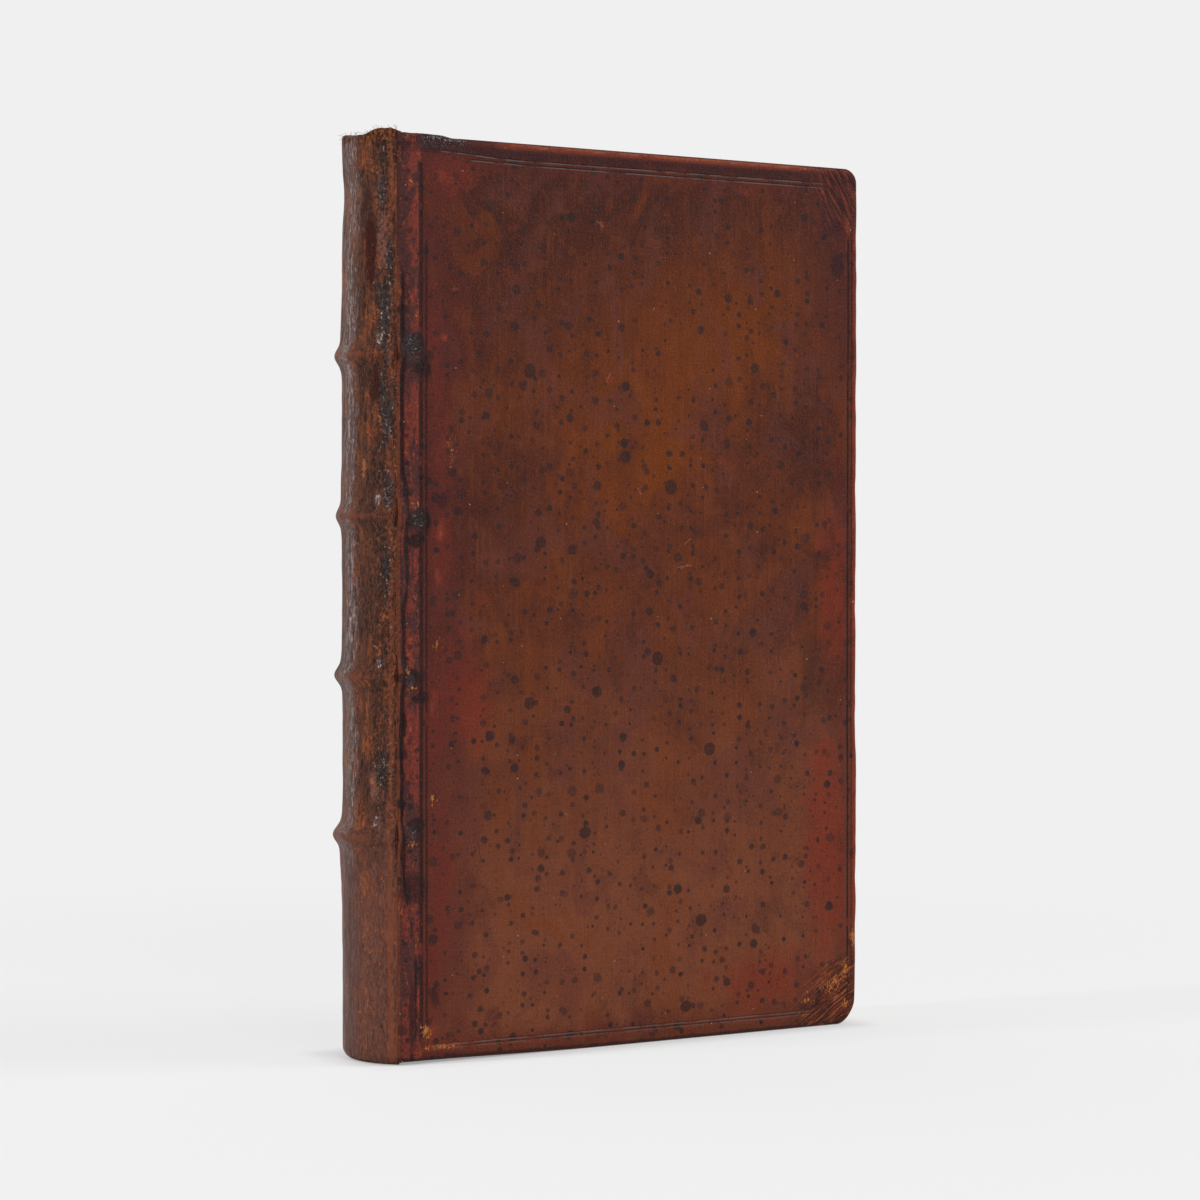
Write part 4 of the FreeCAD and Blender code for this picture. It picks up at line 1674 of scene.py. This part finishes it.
@dataclass
class Endband:
    """A round core wound with thread of two colours, at the head or the tail of the leaves."""

    name: str
    centre_x: float
    ring_radius: float
    height: float
    core_radius: float
    half_angle: float
    thread_radius: float = 0.23
    windings: int = 52

    @classmethod
    def round_back(cls, name: str, centre_x: float) -> "Endband":
        """The endband of a CAD node, bent round the back's centre."""
        low, high = (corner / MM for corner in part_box(name))
        core = (high.z - low.z) / 2
        ring = centre_x - low.x - core
        half_angle = math.asin(min(0.99, (high.y - 0.7) / ring))
        return cls(name, centre_x, ring, (low.z + high.z) / 2, core, half_angle)

    def wind(self, piece: bpy.types.Object, material: bpy.types.Material) -> None:
        """Lays the windings along the core's line, with two threads in turn."""
        tree = GrowthTree("thread_windings", {
            "Windings": ("Int", self.windings),
            "Winding radius": ("Float", (self.core_radius - self.thread_radius) * MM),
            "Thread radius": ("Float", self.thread_radius * MM),
            "Material": ("Material", material),
        })
        line = tree.node("GeometryNodeMeshToCurve", {}, {"Mesh": tree.given["Geometry"]})
        sockets = {"Curve": line.outputs[0], "Count": tree.given["Windings"]}
        even = tree.node("GeometryNodeResampleCurve", {}, sockets)
        tangent = tree.node("GeometryNodeInputTangent")
        sockets = {"Vector": tangent.outputs[0]}
        turned = tree.node("FunctionNodeAlignRotationToVector", {"axis": "Z"}, sockets)
        winding, thread = tree.ring(14, "Winding radius"), tree.ring(6, "Thread radius")
        sockets = {"Curve": winding, "Profile Curve": thread}
        loop = tree.node("GeometryNodeCurveToMesh", {}, sockets)
        laid = tree.laid(even.outputs[0], loop.outputs[0], turned.outputs[0])
        number = tree.node("GeometryNodeInputIndex").outputs[0]
        pair = tree.node("ShaderNodeMath", {"operation": "MODULO"}, {0: number, 1: 4.0})
        sockets = {0: pair.outputs[0], 1: 1.5}
        strand = tree.node("ShaderNodeMath", {"operation": "GREATER_THAN"}, sockets)
        marked = tree.node(
            "GeometryNodeStoreNamedAttribute", {"data_type": "FLOAT", "domain": "INSTANCE"},
            {"Geometry": laid, "Name": "strand", "Value": strand.outputs[0]},
        )
        tree.grow(piece, marked.outputs[0])

    def build(self, material: bpy.types.Material) -> bpy.types.Object:
        """Builds the endband.

        Args:
            material: The thread.

        Returns:
            The endband, riding on the text block.
        """
        count = 41
        angles = np.linspace(-self.half_angle, self.half_angle, count)
        points = np.stack([
            self.centre_x - self.ring_radius * np.cos(angles),
            self.ring_radius * np.sin(angles),
            np.full(count, self.height),
        ], -1)
        mesh = bpy.data.meshes.new(self.name)
        mesh.from_pydata((points * MM).tolist(), [(n, n + 1) for n in range(count - 1)], [])
        piece = linked(f"{self.name}_thread", mesh)
        self.wind(piece, material)
        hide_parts(self.name)
        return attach(piece, "text_block")


@dataclass
class FrayedFibres:
    """Short loose fibres that stand up where the leather is worn through."""

    name: str
    length: float
    thickness: float
    density: float
    seed: int

    def strew(self, patch: bpy.types.Object, material: bpy.types.Material) -> None:
        """Strews the fibres over a worn patch."""
        long = self.length * MM
        tree = GrowthTree("frayed_fibres", {
            "Density": ("Float", self.density * 1e6),
            "Thickness": ("Float", self.thickness * MM / 2),
            "Seed": ("Int", self.seed),
            "Material": ("Material", material),
        })
        seed = tree.given["Seed"]
        sockets = {"Mesh": tree.given["Geometry"], "Density": tree.given["Density"], "Seed": seed}
        strewn = tree.node("GeometryNodeDistributePointsOnFaces", {}, sockets)
        fibre = tree.node(
            "GeometryNodeCurvePrimitiveBezierSegment", {"mode": "POSITION"},
            {"Resolution": 5, "Start": (0, 0, -0.1 * long), "Start Handle": (0, 0, 0.5 * long),
             "End Handle": (0.3 * long, 0, 0.7 * long), "End": (0.75 * long, 0.2 * long, 0.8 * long)},
        )
        along = tree.node("GeometryNodeSplineParameter").outputs[0]
        sockets = {0: along, 1: -0.75, 2: 1.0}
        taper = tree.node("ShaderNodeMath", {"operation": "MULTIPLY_ADD"}, sockets)
        sockets = {"Curve": fibre.outputs[0], "Radius": taper.outputs[0]}
        thin = tree.node("GeometryNodeSetCurveRadius", {}, sockets)
        sockets = {"Curve": thin.outputs[0], "Profile Curve": tree.ring(3, "Thickness")}
        sockets["Fill Caps"] = True
        hair = tree.node("GeometryNodeCurveToMesh", {}, sockets)
        sockets = {"Min": (-0.7, -0.7, -3.1), "Max": (0.7, 0.7, 3.1), "Seed": seed}
        spin = tree.node("FunctionNodeRandomValue", {"data_type": "FLOAT_VECTOR"}, sockets)
        sockets = {"Rotation": strewn.outputs["Rotation"], "Rotate By": spin.outputs[0]}
        turned = tree.node("FunctionNodeRotateRotation", {"rotation_space": "LOCAL"}, sockets)
        sockets = {"Min": 0.3, "Max": 1.2, "Seed": seed}
        size = tree.node("FunctionNodeRandomValue", {"data_type": "FLOAT"}, sockets)
        size = next(socket for socket in size.outputs if socket.enabled)
        laid = tree.laid(strewn.outputs["Points"], hair.outputs[0], turned.outputs[0], size)
        tree.grow(patch, laid)

    def build(self, patch: bpy.types.Object, material: bpy.types.Material,
              body: str, slot: str) -> bpy.types.Object:
        """Grows the fibres on a patch, which they take the place of.

        Args:
            patch: The worn patch.
            material: The fibres' material.
            body: The body that they ride on.
            slot: Not used.

        Returns:
            The fibres.
        """
        patch.name = self.name
        self.strew(patch, material)
        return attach(patch, body)


# Studio

@dataclass
class Studio:
    """Pale floor, soft lights and the camera of the photograph."""

    camera_place: tuple[float, float, float] = (-0.4059, -0.6332, 0.1101)
    camera_turn: tuple[float, float, float] = (math.radians(90 - 0.80), 0, math.radians(-32.7))
    lens: float = 99.5
    floor_level: float = 240.0

    def camera(self) -> None:
        """Adds the camera."""
        data = bpy.data.cameras.new("camera")
        data.lens, data.sensor_width, data.sensor_fit = self.lens, 36, "HORIZONTAL"
        made = linked("camera", data)
        made.location, made.rotation_euler = self.camera_place, self.camera_turn
        bpy.context.scene.camera = made

    def lamp(self, name: str, place: tuple[float, float, float], size: tuple[float, float],
             power: float) -> None:
        """Adds a soft area lamp aimed at the book."""
        data = bpy.data.lights.new(name, "AREA")
        data.shape, data.size, data.size_y = "RECTANGLE", *size
        data.energy = power
        made = linked(name, data)
        made.location = place
        aim = Vector((0, 0, 0.1)) - Vector(place)
        made.rotation_euler = aim.to_track_quat("-Z", "Y").to_euler()

    @property
    def pale(self) -> Colour:
        """The colour of the floor and the backdrop."""
        return tone(*(self.floor_level,) * 3)

    def floor(self) -> None:
        """Adds the floor, whose colour is plain to the camera and which keeps a soft shadow."""
        shader = Shader("pale_floor")
        plain = shader.node("ShaderNodeEmission", {}, {"Color": self.pale, "Strength": 1.0})
        matt = shader.node("ShaderNodeBsdfDiffuse", {}, {"Color": (0.86,) * 3})
        path = shader.node("ShaderNodeLightPath").outputs
        seen = shader.math("MAXIMUM", path["Is Camera Ray"], path["Is Glossy Ray"])
        far = shader.rise((shader.x * shader.x + shader.y * shader.y) ** 0.5, 160.0, 420.0)
        past_x, past_y = (
            shader.math("MAXIMUM", shader.math("ABSOLUTE", place) - half, 0.0)
            for place, half in ((shader.x, 62.0), (shader.y, 12.0))
        )
        beside = (past_x * past_x + past_y * past_y) ** 0.5
        share = seen * (0.8 + far * 0.2) * (0.45 + shader.rise(beside, 0.0, 9.0) * 0.55)
        sockets = {0: share, 1: matt.outputs[0], 2: plain.outputs[0]}
        mixed = shader.node("ShaderNodeMixShader", {}, sockets)
        shader.node("ShaderNodeOutputMaterial", {}, {"Surface": mixed.outputs[0]})
        wide = 3000.0
        points = [(-wide, -wide, 0), (wide, -wide, 0), (wide, wide, 0), (-wide, wide, 0)]
        floor = sheet_object("floor", np.array(points), [(0, 1, 2, 3)])
        floor.data.materials.append(shader.material)
        floor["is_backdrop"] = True

    def world(self, light: float, backdrop: float) -> None:
        """Fills the room with soft light, brighter from the pale backdrop behind the book."""
        world = bpy.data.worlds.new("room")
        world.use_nodes = True
        nodes = Nodes(world.node_tree)
        way = nodes.node("ShaderNodeTexCoord").outputs["Generated"]
        parts = nodes.node("ShaderNodeSeparateXYZ", {}, {0: way})
        behind = nodes.node(
            "ShaderNodeMapRange", {"interpolation_type": "SMOOTHSTEP"},
            {"Value": parts.outputs["Y"], "From Min": -0.1, "From Max": 0.75, "To Min": light,
             "To Max": backdrop},
        )
        sockets = {"Color": (1, 1, 1), "Strength": behind.outputs["Result"]}
        room = nodes.node("ShaderNodeBackground", {}, sockets)
        plain = nodes.node("ShaderNodeBackground", {}, {"Color": self.pale})
        path = nodes.node("ShaderNodeLightPath").outputs["Is Camera Ray"]
        sockets = {0: path, 1: room.outputs[0], 2: plain.outputs[0]}
        mixed = nodes.node("ShaderNodeMixShader", {}, sockets)
        nodes.node("ShaderNodeOutputWorld", {}, {0: mixed.outputs[0]})
        bpy.context.scene.world = world

    def build(self) -> None:
        """Sets up everything round the book."""
        bpy.context.scene.view_settings.view_transform = "Standard"
        self.camera()
        self.floor()
        self.world(0.12, 0.85)
        self.lamp("key", (1.35, -0.85, 1.25), (0.8, 0.8), 22.0)
        self.lamp("front_fill", (-0.25, -1.8, 0.95), (1.0, 0.7), 11.0)
        self.lamp("left_fill", (-1.6, -0.5, 0.7), (0.8, 0.8), 3.0)
        self.lamp("overhead", (-1.0, 0.16, 1.0), (0.14, 0.14), 6.5)


# The wear of the covers and the spine: place across and up, half width, half height, strength

FRONT_WEAR = {
    "blot": marks(
        (12, 125, 1.9, 2), (-0.4, 131.8, 1.8, 1.6), (-25.4, 150.2, 1.7, 1.9), (-27.2, 147, 1.3, 1.5),
        (-22.6, 112.7, 1.7, 1.6), (8.2, 86.5, 1.7, 1.9), (-25.5, 77.2, 1.6, 1.6),
        (-7.9, 79.4, 1.5, 1.5), (22.5, 65.7, 1.7, 1.7), (-11.1, 48.2, 1.9, 1.7), (15.9, 7.5, 1.6, 1.5),
        (20.1, 26.9, 1.8, 1.7), (-45.1, 127.7, 1.3, 1.3), (-49.3, 122.2, 1.2, 1.4),
    ),
    "rub": marks(
        (-48.1, 115, 1.6, 4.5, 0.8), (-48.8, 104.8, 1.4, 3.5, 0.7), (-47.1, 156.7, 1.5, 1.5, 0.8),
        (-44.3, 167, 1, 0.9, 0.9), (-49.3, 168.5, 0.9, 1.1, 0.7), (58.5, 5.5, 6.5, 5.5, 0.8),
        (-46, 3.4, 12, 1.5, 0.7), (-46.6, 134.1, 2.2, 1, 0.5), (-47, 191.5, 3.5, 2.5, 0.45),
        (32.5, 193, 3.4, 2.2, 0.5), (-6.8, 183.2, 2.4, 2, 0.5), (-4.4, 148.8, 2.2, 2.6, 0.5),
        (3.6, 124.2, 2, 1.6, 0.5), (25.5, 131.3, 2.2, 1.8, 0.45), (-50, 7, 2.6, 3, 0.7),
        (61.6, 187, 1.6, 8, 0.8), (-49.6, 78, 1.4, 5, 0.6),
    ),
    "ruddy": marks(
        (-45, 192, 8.5, 5.5), (-48, 112, 4, 16, 0.8), (-43, 80, 10, 14), (55, 42, 9, 34, 0.9),
        (57, 100, 6, 24, 0.7), (-49.5, 150, 3, 20, 0.9), (-48, 130, 4, 14, 0.8), (-48, 40, 5, 26, 0.7),
        (40, 12, 20, 9, 0.7), (-50, 73, 4.5, 13), (-51, 20, 4, 14, 0.8),
    ),
    "gold": marks(
        (57.5, 9.5, 6, 4, 0.8), (61.4, 4.9, 1.8, 1.8, 0.9), (50, 6.3, 6, 1.6, 0.7),
        (63.3, 20.2, 1.2, 3.4), (61, 13, 2.2, 4, 0.8), (-51.6, 7, 2.4, 3), (-47, 3.2, 7, 1.2, 0.8),
        (-55.2, 190, 0.9, 1.3), (-55.2, 47.6, 2.6, 1.4, 0.9), (58.6, 173.5, 1, 0.8),
        (54.5, 169.8, 1, 0.8), (-54.4, 120.6, 2.4, 1.1, 0.9), (-56.4, 84.6, 1.2, 1.8),
        (-54.8, 80.9, 2.2, 1.1, 0.9), (-49.6, 57, 2, 3, 0.6), (-48.6, 90.5, 2, 2, 0.7),
        (-45.5, 132, 2, 6, 0.45), (59.8, 60, 0.8, 4, 0.5),
    ),
    "dark_wear_and_shade": marks(
        (58.3, 176.8, 2.6, 4.5, 0.9), (-48, 198.6, 11, 2.8), (-54.9, 11, 1.4, 12), (-54.6, 153, 5, 6),
        (-53, 117, 4.2, 4.4), (-47.6, 121.5, 2, 2.6, 0.8), (-54.6, 82.6, 4, 3.4),
        (-54.9, 48.9, 3.6, 3.6), (-54.6, 38, 4.4, 4.4), (57, 189, 4.5, 8, 0.8), (-49.5, 14, 2, 4, 0.7),
    ),
    "knot": marks(
        (-54.6, 155.6, 4, 3.2), (-52.6, 150, 3.4, 2.6), (-53.6, 117.4, 4.4, 2.2),
        (-53.8, 113, 2.8, 2.2), (-54.8, 84, 3.2, 2), (-53.2, 79, 3.2, 1.8, 0.75), (-54, 51.6, 3, 2.4),
        (-56.6, 124, 0.8, 4, 0.8), (-56.8, 74, 0.5, 5, 0.8),
    ),
    "warm": marks(
        (25, 165, 52, 38), (8, 140, 44, 66, 0.8),
    ),
    "gloss": marks(
        (-54.8, 154, 3.2, 5.5), (-53.8, 117.5, 2.4, 4, 0.8), (-55.6, 83, 1.6, 3, 0.8),
        (-55.4, 50, 1.8, 3.5, 0.8), (-48, 198.8, 10, 2.2),
    ),
    "crack": marks(
        (-54.6, 39.4, 2.2, 0.35), (-54.8, 39, 0.4, 2.6), (-52.2, 38.2, 2, 0.3),
    ),
}
REAR_WEAR = {
    "blot": marks(
        (-20, 60, 2.1, 1.8), (33, 121, 1.8, 1.8), (2, 170, 1.6, 1.9),
    ),
    "rub": marks(
        (58, 193, 5, 5, 0.8), (-40, 3, 14, 1.6, 0.7),
    ),
    "warm": marks(
        (-5, 120, 55, 60, 0.7),
    ),
}
SPINE_WEAR_PLACES = {
    "gloss": marks(
        (-9.2, 156.2, 1.1, 2.2), (-8.8, 121.8, 1.2, 2), (-9, 86.6, 1, 1.6), (-8.2, 52.6, 1.1, 1.8),
        (-10.4, 165, 0.8, 5, 0.6),
    ),
    "red": marks(
        (-6.6, 176, 1.9, 10), (-4.6, 186, 1.6, 4, 0.6), (-8, 146, 2.2, 5, 0.7),
    ),
    "pink": marks(
        (-9.9, 177.5, 1.6, 9), (-7.5, 60, 2, 5, 0.6),
    ),
    "tan": marks(
        (-5, 129, 0.9, 3.4), (-9.2, 138.7, 0.8, 1.4), (-7.2, 61, 1.4, 1.4), (-7.3, 168.3, 0.6, 0.6),
    ),
    "black": marks(
        (-10.2, 162, 1.8, 9), (-11.2, 173, 1.2, 8, 0.8), (-9.4, 188, 1.6, 5, 0.7),
        (-10.8, 140, 1.6, 9, 0.9), (-10.4, 106, 1.6, 8, 0.6), (-9.4, 64, 1.8, 7, 0.5),
        (-11, 124, 1.4, 5),
    ),
}

PALE_SCUFF = tone(150, 92, 76)
DEEP_CREASE = tone(44, 28, 27)
FRONT_SCRATCHES = (
    Scratch((-7.9, 183.9), (-6.3, 182.9), 0.16, PALE_SCUFF),
    Scratch((-5.4, 148.2), (-4.4, 150.4), 0.16, PALE_SCUFF),
    Scratch((2.9, 124.9), (4.0, 123.2), 0.15, PALE_SCUFF),
    Scratch((13.6, 107.0), (17.6, 107.5), 0.16, PALE_SCUFF),
    Scratch((14.2, 106.4), (16.8, 107.9), 0.12, PALE_SCUFF),
    Scratch((15.6, 112.2), (17.4, 113.6), 0.14, PALE_SCUFF),
    Scratch((-38.6, 47.4), (-37.9, 42.8), 0.16, DEEP_CREASE),
    Scratch((48.3, 3.9), (56.0, 6.0), 0.16, DEEP_CREASE),
)
FRONT_CRACK_LINE = (
    (0.0, -55.2), (14.0, -54.2), (21.0, -53.9), (31.0, -55.6), (39.5, -56.9), (46.0, -57.2),
    (56.0, -57.3), (80.0, -57.2), (99.0, -56.7), (102.0, -56.2), (116.0, -56.3), (123.5, -56.2),
    (127.0, -57.1), (143.0, -57.2), (165.0, -57.2), (200.0, -57.0),
)
REAR_CRACK_LINE = ((0.0, -57.2), (60.0, -57.6), (120.0, -57.1), (200.0, -57.5))

SPINE_BANDS = (
    Band(BAND_HEIGHTS[0], 2.4, 4.0, 12.0), Band(BAND_HEIGHTS[1], 1.85, 4.0, 2.6),
    Band(BAND_HEIGHTS[2], 1.65, 12.0, 3.0), Band(BAND_HEIGHTS[3], 1.85, 7.0, 4.0),
)


def cover_fillets(sizes: BookSizes) -> tuple[Fillet, ...]:
    """The double fillets round a cover's face."""
    joint, fore, top = sizes.joint_x, sizes.fore_x, sizes.cover_height
    return (
        Fillet(True, top - 3.9, joint + 10.5, fore - 9.0, 0.2, 0.8, 0.9, 0.8),
        Fillet(True, top - 4.9, joint + 17.5, fore - 9.0, 0.2, 0.75, 0.9, 0.3),
        Fillet(True, 3.2, joint + 8.0, fore - 13.0, 0.2, 0.5, 0.5),
        Fillet(True, 3.95, joint + 8.0, fore - 13.0, 0.2, 0.6, 0.4),
        Fillet(False, fore - 3.1, 6.0, 184.0, 0.26, 0.1, 1.0),
        Fillet(False, fore - 2.0, 10.0, 186.0, 0.16, 0.1, 0.7),
        Fillet(False, joint + 5.6, 5.0, 194.5, 0.5, 0.0, 1.0),
        Fillet(False, joint + 6.9, 5.0, 178.0, 0.32, 0.0, 0.8),
    )


def dress_cad_nodes() -> None:
    """Gives the nodes that stay their materials: boards, sewing cords and slips."""
    board = Pasteboard("pasteboard").material()
    hemp = Thread("hemp", tone(176, 148, 104), tone(120, 94, 60), tone(150, 120, 80)).material()
    for name, node in frame["nodes"].items():
        if name.endswith("_board"):
            dress(node, board)
        elif "cord" in name:
            dress(node, hemp)
    LOG.info("boards, cords and slips dressed")


def cap_patch(sizes: BookSizes, spine: bpy.types.Object) -> bpy.types.Object:
    """The worn strip of the head cap, taken from the spine's own mesh."""
    made = bmesh.new()
    made.from_mesh(spine.data)
    top = (sizes.cap_z - 1.6) * MM
    rest = [face for face in made.faces
            if face.calc_center_median().z <= top or face.normal.z <= -0.3]
    bmesh.ops.delete(made, geom=rest, context="FACES")
    mesh = bpy.data.meshes.new("cap_patch")
    made.to_mesh(mesh)
    made.free()
    return linked("cap_patch", mesh)


def main() -> None:
    """Builds the studio and the book, piece by piece."""
    logging.basicConfig(level=logging.INFO, format="%(message)s")
    sizes = BookSizes.from_frame()
    Studio().build()
    LOG.info("studio ready")
    fillets = cover_fillets(sizes)
    front = CoverCalf("front_cover_calf", fillets, 2.0, FRONT_SCRATCHES)
    rear = CoverCalf("rear_cover_calf", fillets, 37.0)
    CoverLeather(sizes, Side.FRONT, front, FRONT_WEAR, FRONT_CRACK_LINE).build()
    CoverLeather(sizes, Side.REAR, rear, REAR_WEAR, REAR_CRACK_LINE).build()
    spine = SpineLeather(sizes, SPINE_BANDS, SpineCalf("spine_calf_finish"), SPINE_WEAR_PLACES).build()
    LOG.info("leather of both covers and the spine")
    fibre = Thread("leather_fibre", tone(158, 98, 56), tone(96, 52, 28), tone(122, 70, 40))
    FrayedFibres("head_cap_fibres", 0.9, 0.06, 0.9, 5).build(
        cap_patch(sizes, spine), fibre.material(), "text_block", "spine_calf"
    )
    endpaper = OldPaper("endpaper_leaf", tone(230, 213, 184), tone(158, 112, 74), 0.7).material()
    block = TextBlock(sizes, LeafEdges("leaf_edges"))
    block.build()
    for side in Side:
        block.endpaper(side, endpaper)
        Pastedown(sizes, side, endpaper).build()
        JointStrip(sizes, side, spine.data.materials[0], endpaper).build()
    LOG.info("leaves, endpapers and joints")
    thread = Thread("endband_thread", tone(214, 196, 160), tone(168, 144, 104), tone(70, 84, 112))
    thread_material = thread.material()
    for name in ("head_band", "tail_band"):
        Endband.round_back(name, block.back_centre_x).build(thread_material)
    LOG.info("endbands")
    dress_cad_nodes()
    scene_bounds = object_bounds()
    for label, bounds in (("CAD", cad_bounds), ("visual", scene_bounds)):
        LOG.info("%s box %s", label, [tuple(round(v / MM, 1) for v in corner) for corner in bounds])


if __name__ == "__main__":
    main()
